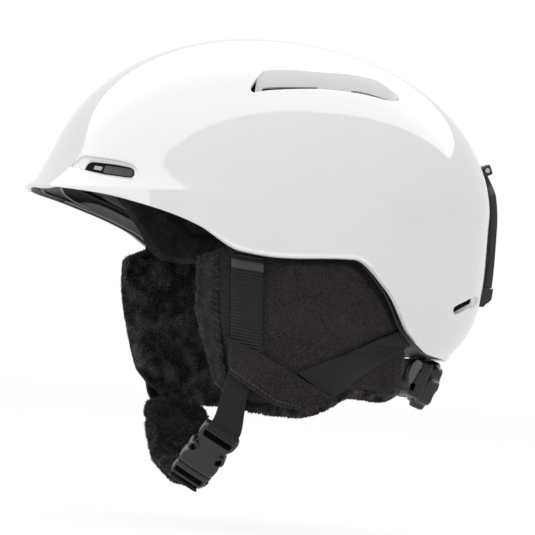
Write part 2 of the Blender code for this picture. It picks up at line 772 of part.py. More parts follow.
def build_buckle(frame):
    half = BUCKLE_WIDTH / 2
    half_t = BUCKLE_THICKNESS / 2
    socket = box(
        "buckle_socket", (-half, -SOCKET_LENGTH, -half_t), (half, 0, half_t), CHARCOAL, frame
    )
    round_edges(socket, SOCKET_ROUND)
    bm = bmesh.new()
    bmesh.ops.create_cube(bm, size=1)
    for vert in bm.verts:
        deep = vert.co.y < 0
        half_width = CAVITY_END_HALF if deep else CAVITY_MOUTH_HALF
        overrun = (CAVITY_END_HALF - CAVITY_MOUTH_HALF) * 0.1
        vert.co.x = math.copysign(half_width if deep else half_width - overrun, vert.co.x)
        vert.co.y = -CAVITY_DEPTH if deep else CAVITY_DEPTH * 0.1
        vert.co.z *= CAVITY_HEIGHT
    cut(socket, add_part("buckle_cavity", bm, None, frame))
    slot_start = -SOCKET_LENGTH + BAR_DEPTH
    slot = box(
        "socket_strap_slot", (-SLOT_WIDTH / 2, slot_start, -half_t * 2),
        (SLOT_WIDTH / 2, slot_start + SLOT_LENGTH, half_t * 2), None, frame,
    )
    cut(socket, slot)
    for sign in (1, -1):
        centre = Vector((sign * WINDOW_X, WINDOW_Y, 0))
        reach = Vector((0, 0, half_t * 2))
        window = rod(f"socket_window_{sign}", centre - reach, centre + reach, WINDOW_RADIUS, None, frame)
        cut(socket, window)

    half_tongue = TONGUE_THICKNESS / 2
    tongue = box(
        "buckle_tongue", (-half + TONGUE_STEP, MOUTH_GAP, -half_tongue),
        (half - TONGUE_STEP, TONGUE_LENGTH, half_tongue), CHARCOAL, frame,
    )
    round_edges(tongue, TONGUE_ROUND)
    guide = box(
        "tongue_guide", (-GUIDE_WIDTH / 2, -PRONG_LENGTH, -PRONG_HEIGHT / 2),
        (GUIDE_WIDTH / 2, 0, PRONG_HEIGHT / 2), CHARCOAL, frame,
    )
    round_edges(guide, PRONG_ROUND, 1)
    tongue_slot = box(
        "tongue_strap_slot", (-SLOT_WIDTH / 2, TONGUE_LENGTH - BAR_DEPTH - SLOT_LENGTH, -half_t * 2),
        (SLOT_WIDTH / 2, TONGUE_LENGTH - BAR_DEPTH, half_t * 2), None, frame,
    )
    cut(tongue, tongue_slot)

    for sign, name in ((1, "front"), (-1, "rear")):
        pivot = add_frame(f"prong_{name}_pivot", Matrix.Translation(prong_pivot(sign)), frame)
        bm = bmesh.new()
        bmesh.ops.create_cube(bm, size=1)
        for vert in bm.verts:
            tip = vert.co.y < 0
            outside = vert.co.x > 0
            edge = PRONG_TIP_OUT if tip else PRONG_ROOT_OUT
            x = edge if outside else edge - PRONG_WALL
            y = -PRONG_LENGTH if tip else 0
            vert.co = Vector((sign * x, y, vert.co.z * PRONG_HEIGHT)) - prong_pivot(sign)
        prong = add_part(f"buckle_prong_{name}", bm, CHARCOAL, pivot)
        round_edges(prong, PRONG_ROUND, 1)


def prong_pivot(sign):
    return Vector((sign * (PRONG_ROOT_OUT - PRONG_WALL / 2), 0, 0))


# Chin webbing and pad
def hermite(start, start_run, end, end_run, t):
    a = 2 * t**3 - 3 * t**2 + 1
    b = t**3 - 2 * t**2 + t
    c = t**3 - t**2
    return start * a + start_run * b + end * (1 - a) + end_run * c


def chin_exit(side, u):
    spot = Vector((*CHIN_EXIT[0], 0)).lerp(Vector((*CHIN_EXIT[1], 0)), u)
    inset = PAD_INSET - STRAP_GAP - STRAP_WALL
    return wall_point(side, spot.x - PAD_FORWARD[side], spot.y, inset)


# A smooth line through three points
def through(points, v):
    first, middle, last = [Vector(point) for point in points]
    return first * (2 * v - 1) * (v - 1) + middle * 4 * v * (1 - v) + last * v * (2 * v - 1)


def chin_at(across, v):
    return through(CHIN_FRONT, v).lerp(through(CHIN_REAR, v), across)


def chin_run(v):
    step = 0.01
    return (chin_at(0.5, v + step) - chin_at(0.5, v - step)).normalized()


def chin_across(v):
    return (chin_at(1, v) - chin_at(0, v)).normalized()


def build_chin_straps(buckle):
    half = STRAP_WIDTH / 2
    bar_y = -SOCKET_LENGTH - MOUTH_GAP

    def left(u, v):
        end = buckle @ Vector((lerp(half, -half, u), bar_y, STRAP_WALL / 2))
        return hermite(chin_exit(1, u), LEFT_STRAP_DOWN, end, BUCKLE_PULL * LEFT_STRAP_PULL, v)

    ribbon("chin_strap_left", 3, 10, left, STRAP_WALL, WEBBING)

    def right(u, v):
        end = chin_at(0.5, 1) + chin_run(1) * STRAP_WALL + chin_across(1) * lerp(-half, half, u)
        return hermite(chin_exit(-1, u), RIGHT_STRAP_DOWN, end, RIGHT_STRAP_IN, v)

    ribbon("chin_strap_right", 3, 12, right, -STRAP_WALL, WEBBING)

    bar_middle = TONGUE_LENGTH - BAR_DEPTH / 2
    wrap = TONGUE_THICKNESS / 2 + PIECE_GAP + STRAP_WALL
    loop_end = buckle.inverted() @ (chin_at(0.5, 0) - chin_run(0) * STRAP_WALL)

    def tongue(u, v):
        turn = math.radians(lerp(WRAP_FROM, WRAP_TO, min(v / WRAP_SHARE, 1)))
        round_bar = Vector((0, bar_middle + wrap * math.cos(turn), wrap * math.sin(turn)))
        tail = ease((v - WRAP_SHARE) / (1 - WRAP_SHARE))
        centre = round_bar.lerp(loop_end, tail)
        return buckle @ (centre + Vector((lerp(half, -half, u), 0, 0)))

    ribbon("tongue_strap", 3, 14, tongue, STRAP_WALL, WEBBING)


def build_chin_pad():
    def place(u, v, sign):
        across = 2 * u - 1
        ends = 1 - (2 * v - 1) ** 6
        half = lerp(CHIN_END_SHARE, 1, ends) / 2
        swell = max(1 - across**4, 0) * lerp(CHIN_END_SWELL, 1, ends)
        rise = CHIN_THICKNESS / 2 * lerp(CHIN_EDGE_SHARE, 1, swell)
        normal = chin_run(v).cross(chin_across(v)).normalized()
        return chin_at(0.5 + across * half, v) + normal * rise * sign

    sheet_body("chin_pad", 10, 14, lambda u, v: place(u, v, 1), lambda u, v: place(u, v, -1), PLUSH)


# Forehead lining: a wall pad inside the foam that turns out under the brim
def build_brow_pad():
    ledge_inset = BRIM_INNER_INSET + CURVED_GAP

    def place(u, v, depth, drop):
        phi = lerp(-BROW_SPAN, BROW_SPAN, u)
        inset = cavity(BROW_GAP + depth)
        edge = foam_edge_z(phi) - BROW_GAP - drop
        if v < BROW_WALL_SHARE:
            return ring_point(phi, lerp(BROW_TOP_Z, edge, v / BROW_WALL_SHARE), inset)
        past = (v - BROW_WALL_SHARE) / (1 - BROW_WALL_SHARE)
        hanging = ring_point(phi, lerp(edge, smooth(BROW_LOW, abs(phi)), past), inset)
        turned = ring_point(phi, edge, inset).lerp(ring_point(phi, edge, skin(ledge_inset)), past)
        return turned.lerp(hanging, ease((abs(phi) - BROW_LEDGE_FULL) / (BROW_LEDGE_END - BROW_LEDGE_FULL)))

    def crown(u, v):
        return (1 - (2 * u - 1) ** 8) * (1 - (2 * v - 1) ** 6)

    def inner(u, v):
        swell = lerp(CUSHION_EDGE_SHARE, 1, crown(u, v))
        return place(u, v, BROW_WALL * swell, BROW_LEDGE_WALL * swell)

    sheet_body("brow_pad", 34, 5, lambda u, v: place(u, v, 0, 0), inner, LINING)


def build_crown_pad():
    def at(depth, crowned):
        def place(phi, share):
            swell = lerp(CUSHION_EDGE_SHARE, 1, 1 - share**4) if crowned else 1
            inset = cavity(CROWN_PAD_GAP + depth * swell)
            return form_point(phi, share * math.radians(CROWN_PAD_SPAN), inset)

        return place

    dome_body("crown_pad", at(0, False), at(CROWN_PAD_WALL, True), LINING, 24, 5)


# Nape fit system
def fit_matrix():
    rear = ring_point(180, rim_z(180), skin(0))
    centre = rear + Vector((0, -FIT_AHEAD_OF_RIM, -FIT_BELOW_RIM))
    return Matrix.Translation(centre) @ Matrix.Rotation(math.radians(FIT_TILT), 4, "X")


def band_point(angle, height, radius):
    turn = math.radians(angle)
    return Vector((radius * math.sin(turn), radius * math.cos(turn), height))


def build_dial(frame):
    dial = rod("fit_dial", (0, 0, 0), (0, DIAL_DEPTH, 0), DIAL_RADIUS, CHARCOAL, frame, DIAL_LOBES * 4)
    for vert in dial.data.vertices:
        turn = math.atan2(vert.co.z, vert.co.x)
        grow = 1 + DIAL_LOBE / DIAL_RADIUS * math.cos(DIAL_LOBES * turn)
        vert.co.x *= grow
        vert.co.z *= grow
    round_edges(dial, DIAL_ROUND)
    end = -PIECE_GAP
    rod("dial_pinion", (0, end - PINION_LENGTH, 0), (0, end, 0), PINION_RADIUS, BLACK_PLASTIC, frame, 24)


def build_housing(frame):
    face = -HOUSING_GAP
    housing = box(
        "dial_housing", (-HOUSING_WIDTH / 2, face - HOUSING_DEPTH, -HOUSING_HEIGHT / 2),
        (HOUSING_WIDTH / 2, face, HOUSING_HEIGHT / 2), BLACK_PLASTIC, frame,
    )
    round_edges(housing, HOUSING_ROUND)
    bore = rod(
        "pinion_bore", (0, face - HOUSING_DEPTH + HOUSING_BACK, 0), (0, DIAL_DEPTH, 0),
        PINION_RADIUS + RUNNING_GAP, None, frame, 24,
    )
    cut(housing, bore)
    half = HOUSING_WIDTH / 2 / BAND_RADIUS * BAND_SLOT_OVERRUN
    centre = Vector((0, -BAND_SETBACK - BAND_RADIUS, 0))
    for side in (1, -1):
        low, high = band_heights(side, BAND_TAIL)

        def slot(radius, low=low, high=high):
            def at(u, v):
                angle = math.degrees(lerp(-half, half, u))
                height = lerp(low - BAND_CLEARANCE, high + BAND_CLEARANCE, v)
                return centre + band_point(angle, height, radius)

            return at

        reach = BAND_WALL / 2 + BAND_CLEARANCE
        outer = slot(BAND_RADIUS + reach)
        inner = slot(BAND_RADIUS - reach)
        slot_part = sheet_body(f"band_slot_{side_name(side)}", 12, 1, outer, inner, None, frame)
        cut(housing, slot_part)


# The left band's tail runs over the pinion and the right band's under it
def band_heights(side, angle):
    wide = ease((angle - BAND_WIDE_FROM) / BAND_WIDENING)
    inner = lerp(BAND_INNER_Z, -BAND_OUTER_Z * BAND_LOW_SHARE, wide)
    return (inner, BAND_OUTER_Z) if side > 0 else (-BAND_OUTER_Z, -inner)


def build_band(side, frame):
    name = side_name(side)
    axis = add_frame(f"fit_band_{name}_axis", Matrix.Translation((0, -BAND_SETBACK - BAND_RADIUS, 0)), frame)

    def strip(radius):
        def at(u, v):
            angle = lerp(BAND_TAIL, BAND_END, u)
            low, high = band_heights(side, angle)
            return band_point(side * angle, lerp(low, high, v), radius)

        return at

    half = BAND_WALL / 2
    outer = strip(BAND_RADIUS + half)
    inner = strip(BAND_RADIUS - half)
    sheet_body(f"fit_band_{name}", 18, 2, outer, inner, BLACK_PLASTIC, axis)

    def pad(depth, crowned):
        def at(u, v):
            angle = lerp(NAPE_PAD_FROM, NAPE_PAD_TO, u)
            swell = (1 - (2 * u - 1) ** 4) * (1 - (2 * v - 1) ** 4)
            grow = depth * (lerp(CUSHION_EDGE_SHARE, 1, swell) if crowned else 1)
            height = lerp(-NAPE_PAD_HALF_HEIGHT, NAPE_PAD_HALF_HEIGHT, v)
            return band_point(side * angle, height, BAND_RADIUS - half - PIECE_GAP - grow)

        return at

    sheet_body(f"nape_pad_{name}", 6, 4, pad(0, False), pad(NAPE_PAD_WALL, True), LINING, axis)


# Hanger from the housing's top up the foam's rear inner face, with its two pins
def build_cradle(liner, fit):
    def place(u, v, depth):
        phi = 180 + lerp(-CRADLE_HALF_ANGLE, CRADLE_HALF_ANGLE, u)
        edge = foam_edge_z(180) - CRADLE_EDGE_DROP
        height = lerp(CRADLE_TOP_Z, edge, min(v / CRADLE_STRAIGHT_SHARE, 1))
        upper = ring_point(phi, height, cavity(CRADLE_GAP + depth))
        foot = fit @ Vector((0, -HOUSING_DEPTH * CRADLE_FOOT_SHARE, HOUSING_HEIGHT / 2 + CRADLE_GAP))
        low = Vector((upper.x, foot.y - depth + CRADLE_WALL / 2, foot.z))
        return upper.lerp(low, ease((v - CRADLE_STRAIGHT_SHARE) / (1 - CRADLE_STRAIGHT_SHARE)))

    cradle = sheet_body(
        "fit_cradle", 4, 10, lambda u, v: place(u, v, 0), lambda u, v: place(u, v, CRADLE_WALL), BLACK_PLASTIC
    )
    for side in (1, -1):
        phi = 180 - side * CRADLE_SNAP_ANGLE
        seat = ring_point(phi, CRADLE_SNAP_Z, cavity(CRADLE_GAP + CRADLE_WALL))
        inward = Vector((0, -CRADLE_SNAP_PROUD, 0))
        out = Vector((0, CRADLE_SNAP_LENGTH, 0))
        name = f"cradle_snap_{side_name(side)}"
        rod(name, seat + inward, seat + out, CRADLE_SNAP_RADIUS, BLACK_PLASTIC)
        hole = rod(
            name + "_hole", seat + inward * 10, seat + out + Vector((0, PIECE_GAP, 0)),
            CRADLE_SNAP_RADIUS + PIECE_GAP, None,
        )
        cut(cradle, hole)
        cut(liner, hole)


# Goggle lock: clevis and pin at the top, band down the rear, clip over a stud
def lock_surface(z, stand):
    return skin_point(180, z, -stand)


def build_goggle_lock():
    pin_centre = lock_surface(LOCK_TOP_Z, LOCK_PIN_STAND)
    hinge = add_frame("goggle_lock_hinge", Matrix.Translation(pin_centre))
    half_pin = Vector((LOCK_PIN_LENGTH / 2, 0, 0))
    rod("goggle_lock_pin", pin_centre - half_pin, pin_centre + half_pin, LOCK_PIN_RADIUS, STEEL, None, 20)

    outward = skin_normal(180, LOCK_TOP_Z)
    tilt = math.atan2(outward.z, outward.y)
    turn = Matrix.Translation(pin_centre) @ Matrix.Rotation(tilt, 4, "X")
    base_frame = add_frame("goggle_lock_base_frame", turn)
    half_gap = LOCK_KNUCKLE_WIDTH / 2 + SIDE_GAP
    half_base = half_gap + LOCK_EAR_WIDTH
    foot = -LOCK_PIN_STAND + CURVED_GAP
    base = box(
        "goggle_lock_base", (-half_base, foot, -LOCK_KNUCKLE_RADIUS),
        (half_base, LOCK_KNUCKLE_RADIUS, LOCK_KNUCKLE_RADIUS), RUBBER, base_frame,
    )
    round_edges(base, LOCK_BASE_ROUND)
    gap = box(
        "goggle_lock_base_gap", (-half_gap, foot + LOCK_BASE_FLOOR, -LOCK_KNUCKLE_RADIUS * 2),
        (half_gap, LOCK_KNUCKLE_RADIUS * 2, LOCK_KNUCKLE_RADIUS * 2), None, base_frame,
    )
    cut(base, gap)
    reach = half_pin * 1.5
    bore_radius = LOCK_PIN_RADIUS + RUNNING_GAP
    bore = rod("goggle_lock_bore", pin_centre - reach, pin_centre + reach, bore_radius, None, None, 20)
    cut(base, bore)

    def strip(stand):
        def at(u, v):
            z = lerp(LOCK_TOP_Z - LOCK_KNUCKLE_RADIUS * 0.2, LOCK_CLIP_Z, v)
            taper = ease((LOCK_TOP_Z - LOCK_KNUCKLE_RADIUS * 1.6 - z) / LOCK_TAPER_RUN)
            half = lerp(LOCK_KNUCKLE_WIDTH / 2, LOCK_WIDTH / 2, taper)
            lift = lerp(LOCK_PIN_STAND - LOCK_WALL * 0.25 + (stand - LOCK_GAP) * 0.5, stand, ease(v / 0.12))
            spot = lock_surface(z, lift)
            return spot + Vector((lerp(-half, half, u), 0, 0)) - pin_centre

        return at

    band = sheet_body("goggle_lock_band", 3, 18, strip(LOCK_GAP + LOCK_WALL), strip(LOCK_GAP), RUBBER, hinge)
    half_knuckle = Vector((LOCK_KNUCKLE_WIDTH / 2, 0, 0))
    knuckle = rod("goggle_lock_knuckle", -half_knuckle, half_knuckle, LOCK_KNUCKLE_RADIUS, None, hinge, 20)
    cut(band, knuckle, "UNION")
    cut(band, bore)

    def clip(stand):
        def at(u, v):
            z = lerp(LOCK_CLIP_Z - PIECE_GAP, LOCK_BOTTOM_Z, v)
            spot = lock_surface(z, stand(v))
            return spot + Vector((lerp(-LOCK_WIDTH / 2, LOCK_WIDTH / 2, u), 0, 0)) - pin_centre

        return at

    def clip_face(v):
        return LOCK_GAP + LOCK_WALL + LOCK_CLIP_PROUD - LOCK_CLIP_SLANT * ease(2 * v - 1)

    clip_part = sheet_body(
        "goggle_lock_clip", 3, 4, clip(clip_face), clip(lambda v: LOCK_CLIP_GAP), RUBBER, hinge
    )
    stud_foot = lock_surface(LOCK_STUD_Z, CURVED_GAP)
    stud_end = stud_foot + Vector((0, LOCK_STUD_LENGTH, 0))
    rod("goggle_lock_stud", stud_foot, stud_end, LOCK_STUD_RADIUS, STEEL)
    socket_start = stud_foot - Vector((0, LOCK_STUD_LENGTH, 0))
    socket_end = stud_end + Vector((0, PIECE_GAP, 0))
    cut(clip_part, rod("goggle_lock_socket", socket_start, socket_end, LOCK_STUD_RADIUS + PIECE_GAP, None))


# Assembly
shell = build_shell()
liner = build_liner()
build_trim()
build_brim()
build_vents(shell, liner)
for hand in (1, -1):
    build_ear_pad(hand)
    build_snaps(hand, liner)
    build_pad_straps(hand)
    build_anchors(hand)
buckle = buckle_matrix()
buckle_frame = add_frame("buckle_frame", buckle)
build_buckle(buckle_frame)
build_chin_straps(buckle)
build_chin_pad()
build_brow_pad()
build_crown_pad()
fit = fit_matrix()
fit_frame = add_frame("fit_frame", fit)
build_dial(fit_frame)
build_housing(fit_frame)
for hand in (1, -1):
    build_band(hand, fit_frame)
build_cradle(liner, fit)
build_goggle_lock()
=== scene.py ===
import math

import bpy
import numpy as np
from mathutils import Matrix, Vector, noise


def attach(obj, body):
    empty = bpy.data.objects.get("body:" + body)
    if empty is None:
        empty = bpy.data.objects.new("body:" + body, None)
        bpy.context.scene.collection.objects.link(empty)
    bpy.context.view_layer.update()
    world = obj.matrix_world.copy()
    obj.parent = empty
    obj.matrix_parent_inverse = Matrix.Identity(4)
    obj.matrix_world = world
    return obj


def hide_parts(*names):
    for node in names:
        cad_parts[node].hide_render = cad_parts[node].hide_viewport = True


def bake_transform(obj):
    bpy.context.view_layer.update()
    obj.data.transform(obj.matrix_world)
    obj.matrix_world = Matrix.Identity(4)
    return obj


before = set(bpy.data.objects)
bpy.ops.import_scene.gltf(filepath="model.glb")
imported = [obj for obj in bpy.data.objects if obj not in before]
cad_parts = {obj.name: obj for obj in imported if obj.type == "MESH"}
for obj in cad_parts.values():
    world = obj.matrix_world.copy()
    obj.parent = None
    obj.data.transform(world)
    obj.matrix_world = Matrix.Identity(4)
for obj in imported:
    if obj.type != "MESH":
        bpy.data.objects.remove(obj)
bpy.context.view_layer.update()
noise.seed_set(7)  # its vectors would otherwise start from the clock
print("frame loaded")


# sums used all over
def lerp(a, b, t):
    return a + (b - a) * t


def ease(t):
    t = min(max(t, 0.0), 1.0)
    return t * t * (3 - 2 * t)


def curveAt(points, at):  # smooth height against place, with no overshoot
    xs = [p[0] for p in points]
    ys = [p[1] for p in points]
    at = min(max(at, xs[0]), xs[-1])
    k = max(i for i in range(len(xs) - 1) if xs[i] <= at)
    slopes = [(ys[i + 1] - ys[i]) / (xs[i + 1] - xs[i]) for i in range(len(xs) - 1)]
    runs = [slopes[0]]
    for before, after in zip(slopes, slopes[1:]):
        runs.append(0.0 if before * after <= 0 else 2 * before * after / (before + after))
    runs.append(slopes[-1])
    h = xs[k + 1] - xs[k]
    t = (at - xs[k]) / h
    start = (2 * t**3 - 3 * t**2 + 1) * ys[k] + (t**3 - 2 * t**2 + t) * h * runs[k]
    return start + (3 * t**2 - 2 * t**3) * ys[k + 1] + (t**3 - t**2) * h * runs[k + 1]


def alongLine(points, t):  # straight runs, each an equal share of t
    steps = len(points) - 1
    k = min(int(t * steps), steps - 1)
    return Vector(points[k]).lerp(Vector(points[k + 1]), t * steps - k)


def closedAt(points, at):  # smooth closed outline through the points, at a point's number
    i = math.floor(at)
    t = at - i
    a, b, c, d = [np.array(points[(i + j - 1) % len(points)], float) for j in range(4)]
    return 0.5 * (2 * b + (c - a) * t + (2 * a - 5 * b + 4 * c - d) * t**2 + (3 * b - a - 3 * c + d) * t**3)


def hermite(start, startRun, end, endRun, t):
    a = 2 * t**3 - 3 * t**2 + 1
    return start * a + startRun * (t**3 - 2 * t**2 + t) + end * (1 - a) + endRun * (t**3 - t**2)


# the shell's form, the same as in the CAD; phi is the angle from the front in degrees
shellSet = {
    "front": 0.134, "rear": 0.145, "halfWidth": 0.103, "centreY": -0.020, "equatorZ": 0.031,
    "rise": 0.1055, "drop": 0.103, "wall": 0.0025,
    "planPower": 2.2, "crownPower": 2.1, "dropPower": 3.8,
    "flare": 0.0065, "flareHeight": 0.010, "flareZ": 0.040, "flareMost": 0.0125, "flareSpread": 1.5,
    "rim": ((0, 0.0352), (30, 0.0300), (45, 0.0235), (58, 0.0145), (70, 0.002), (82, 0.0),
            (108, 0.0025), (120, -0.0135), (132, -0.0385), (145, -0.0495), (160, -0.0525), (180, -0.0525)),
    "columns": 240, "rows": 112, "crowding": 0.75, "edgeRound": 0.0006, "rimRows": 8, "rimZone": 0.0052,
    "flankLine": ((-0.0525, 143), (-0.0122, 131.6), (0.0051, 127.5), (0.0204, 122.6), (0.0310, 115.3),
                  (0.0372, 106.5)),
    "flankDepth": 0.0015, "flankRun": 0.022, "flankRadius": 0.11, "flankTop": 0.044, "flankFade": 0.016,
    "flankBack": 178, "flankBackRun": 22, "rimRoll": 0.0018, "rimRun": 0.0036, "rollPower": 1.3,
    "rollFrom": 48, "rollRun": 16, "normalTop": 0.12,
}
foamSet = {"front": 0.040, "rear": 0.033, "side": 0.025, "crown": 0.0285, "drop": 0.130, "gap": 0.0023,
           "lift": 0.0085, "columns": 132, "rows": 44, "crowding": 0.85, "edgeRound": 0.0022}


def skinInset(depth):
    return (depth, depth, depth, depth, shellSet["drop"], shellSet["flare"])


def foamInset(extra):
    return (foamSet["front"] + extra, foamSet["rear"] + extra, foamSet["side"] + extra,
            foamSet["crown"] + extra, foamSet["drop"], 0.0)


def fromFront(phi):  # 0 at the front and 180 at the rear, on both sides
    return abs((phi + 180) % 360 - 180)


def rimZ(phi):
    return curveAt(shellSet["rim"], fromFront(phi))


def planRadius(phi, inset):
    s = abs(math.sin(math.radians(phi)))
    c = math.cos(math.radians(phi))
    length = shellSet["front"] - inset[0] if c > 0 else shellSet["rear"] - inset[1]
    power = shellSet["planPower"]
    return ((s / (shellSet["halfWidth"] - inset[2])) ** power + (abs(c) / length) ** power) ** (-1 / power)


def tauAt(z, inset):
    if z >= shellSet["equatorZ"]:
        share = min((z - shellSet["equatorZ"]) / (shellSet["rise"] - inset[3]), 1.0)
        return math.acos(share ** (shellSet["crownPower"] / 2))
    return math.acos(-(((shellSet["equatorZ"] - z) / inset[4]) ** (shellSet["dropPower"] / 2)))


def formPoint(phi, tau, inset):
    upper = tau <= math.pi / 2
    power = 2 / (shellSet["crownPower"] if upper else shellSet["dropPower"])
    reach = max(math.sin(tau), 0.0) ** power
    height = shellSet["rise"] - inset[3] if upper else -inset[4]
    z = shellSet["equatorZ"] + height * abs(math.cos(tau)) ** power
    forward = max(math.cos(math.radians(phi)), 0.0) ** shellSet["flareSpread"]
    swell = math.exp((shellSet["flareZ"] - z) / shellSet["flareHeight"])
    flare = min(inset[5] * swell, shellSet["flareMost"])
    r = planRadius(phi, inset) * reach + flare * forward * ease(reach * 2)
    turn = math.radians(phi)
    return Vector((r * math.sin(turn), shellSet["centreY"] - r * math.cos(turn), z))


def ringPoint(phi, z, inset):
    return formPoint(phi, tauAt(z, inset), inset)


def skinNormal(phi, z):
    across = ringPoint(phi + 1, z, skinInset(0)) - ringPoint(phi - 1, z, skinInset(0))
    upward = ringPoint(phi, z + 0.001, skinInset(0)) - ringPoint(phi, z - 0.001, skinInset(0))
    return across.cross(upward).normalized()


def skinPoint(phi, z, depth):
    return ringPoint(phi, z, skinInset(0)) - skinNormal(phi, z) * depth


def flank(phi, z):  # soft line behind the ears, where the rear of the shell steps in a little
    s = shellSet
    away = fromFront(phi)
    past = math.radians(away - curveAt(s["flankLine"], z)) * s["flankRadius"]
    fade = ease((s["flankTop"] - z) / s["flankFade"]) * ease((s["flankBack"] - away) / s["flankBackRun"])
    return s["flankDepth"] * ease(past / s["flankRun"]) * fade


sideNames = {1: "left", -1: "right"}
clothSet = {"quality": 4, "mass": 0.02, "stretch": 12, "bend": 0.2, "slack": -0.03, "pressure": 4,
            "frames": 20}
lumpSet = {"scale": 95, "finer": 2.6, "coarseShare": 0.6, "fineShare": 0.4}
mergeGap = 1e-6
tubeUp = Vector((0.123, 0.087, 1))  # no path of a tube runs along it


# modelling steps that every piece goes through
def picked(*pieces):  # these alone are selected, and the first is active
    bpy.ops.object.select_all(action="DESELECT")
    for piece in pieces:
        piece.select_set(True)
    bpy.context.view_layer.objects.active = pieces[0]


def addSheet(name, columns, rows, place):
    bpy.ops.object.select_all(action="DESELECT")
    bpy.ops.mesh.primitive_grid_add(x_subdivisions=columns, y_subdivisions=rows, size=2)
    piece = bpy.context.object
    piece.name = name
    for vert in piece.data.vertices:
        vert.co = place((vert.co.x + 1) / 2, (vert.co.y + 1) / 2)
    return piece


def applied(piece, kind, **settings):
    modifier = piece.modifiers.new(kind.lower(), kind)
    for key, value in settings.items():
        setattr(modifier, key, value)
    bpy.context.view_layer.objects.active = piece
    bpy.ops.object.modifier_apply(modifier=modifier.name)
    return piece


def bevelled(piece, width, segments=2, sharp=50):
    return applied(piece, "BEVEL", width=width, segments=segments, limit_method="ANGLE",
                   angle_limit=math.radians(sharp))


def closed(piece):  # merge doubles and point the faces outwards
    picked(piece)
    bpy.ops.object.mode_set(mode="EDIT")
    bpy.ops.mesh.select_all(action="SELECT")
    bpy.ops.mesh.remove_doubles(threshold=mergeGap)
    bpy.ops.mesh.normals_make_consistent(inside=False)
    bpy.ops.object.mode_set(mode="OBJECT")
    mesh = piece.data
    mesh.calc_loop_triangles()
    spots = [v.co for v in mesh.vertices]
    volume = sum(spots[t.vertices[0]].dot(spots[t.vertices[1]].cross(spots[t.vertices[2]]))
                 for t in mesh.loop_triangles)
    if volume < 0:
        bpy.ops.object.mode_set(mode="EDIT")
        bpy.ops.mesh.flip_normals()
        bpy.ops.object.mode_set(mode="OBJECT")
    return piece


def thickSheet(name, columns, rows, outer, inner, sewn=None):  # a closed pad or plate between two faces
    piece = addSheet(name, columns, rows, lambda u, v: Vector((u, v, 0)))
    spots = [vert.co.copy() for vert in piece.data.vertices]
    applied(piece, "SOLIDIFY", thickness=0.01, offset=0)
    count = len(spots)
    for k, vert in enumerate(piece.data.vertices):
        u, v, _ = spots[k % count]
        vert.co = outer(u, v) if k < count else inner(u, v)
    if sewn:
        held = [k for k in range(2 * count) if sewn(spots[k % count].x, spots[k % count].y, k >= count)]
        piece.vertex_groups.new(name="sewn").add(held, 1.0, "REPLACE")
    return closed(piece)


def layer(name, columns, rows, face, outer, inner, sewn=None):  # the same between two depths of one face
    return thickSheet(name, columns, rows, lambda u, v: face(u, v, outer),
                      lambda u, v: face(u, v, inner), sewn)


def innerSewn(u, v, inside):
    return not inside


def plumped(piece, most):  # a pad blown up against its sewn points by the cloth solver
    s = clothSet
    before = np.array([v.co for v in piece.data.vertices])
    cloth = piece.modifiers.new("cloth", "CLOTH")
    cloth.settings.quality = s["quality"]
    cloth.settings.mass = s["mass"]
    cloth.settings.tension_stiffness = cloth.settings.compression_stiffness = s["stretch"]
    cloth.settings.shear_stiffness = s["stretch"] / 2
    cloth.settings.bending_stiffness = s["bend"]
    cloth.settings.use_pressure = True
    cloth.settings.uniform_pressure_force = s["pressure"]
    cloth.settings.effector_weights.gravity = 0
    cloth.settings.vertex_group_mass = "sewn"
    cloth.settings.shrink_min = s["slack"]
    cloth.collision_settings.use_collision = False
    cloth.point_cache.frame_start, cloth.point_cache.frame_end = 1, s["frames"]
    for step in range(1, s["frames"] + 1):
        bpy.context.scene.frame_set(step)
    picked(piece)
    bpy.ops.object.modifier_apply(modifier="cloth")
    bpy.context.scene.frame_set(1)
    moved = np.array([v.co for v in piece.data.vertices]) - before
    length = np.linalg.norm(moved, axis=1)
    share = np.minimum(1, most / np.maximum(length, 1e-9))
    piece.data.vertices.foreach_set("co", (before + moved * share[:, None]).ravel())
    piece.data.update()
    print(f"{piece.name} swelled {length.max() * 1000:.1f} mm, mean {length.mean() * 1000:.2f}")
    piece.vertex_groups.clear()
    return applied(piece, "SUBSURF", levels=1, render_levels=1)


def lumped(piece, amount, mask):  # lumps of the pile's backing
    s = lumpSet
    normals = [v.normal.copy() for v in piece.data.vertices]
    for vert, out in zip(piece.data.vertices, normals):
        p = vert.co * s["scale"]
        lump = noise.noise(p) * s["coarseShare"] + noise.noise(p * s["finer"]) * s["fineShare"]
        vert.co += out * lump * amount * mask(out)
    return piece


def faceAcross(place, u, v):
    step = 0.01
    across = place(min(u + step, 1), v) - place(max(u - step, 0), v)
    down = place(u, min(v + step, 1)) - place(u, max(v - step, 0))
    return across.cross(down).normalized()


def ribbon(name, columns, rows, place, wall, edge=0.35):  # webbing with thinner, rounded selvedges
    def inner(u, v):
        return place(u, v) + faceAcross(place, u, v) * wall * (1 - edge / 2 * (2 * u - 1) ** 8)

    def outer(u, v):
        return place(u, v) + faceAcross(place, u, v) * wall * edge / 2 * (2 * u - 1) ** 8

    return thickSheet(name, columns, rows, outer, inner)


def addTube(name, steps, sides, path, radius, ring=False):
    def place(u, v):
        step = 0.5 / steps
        ahead = path((v + step) % 1 if ring else min(v + step, 1))
        behind = path((v - step) % 1 if ring else max(v - step, 0))
        run = (ahead - behind).normalized()
        side = run.cross(tubeUp).normalized()
        turn = 2 * math.pi * u
        size = radius(v) if callable(radius) else radius
        return path(v) + (side * math.cos(turn) + side.cross(run) * math.sin(turn)) * size

    piece = addSheet(name, sides, steps, place)
    if not ring:
        fillEnds(piece)
    return closed(piece)


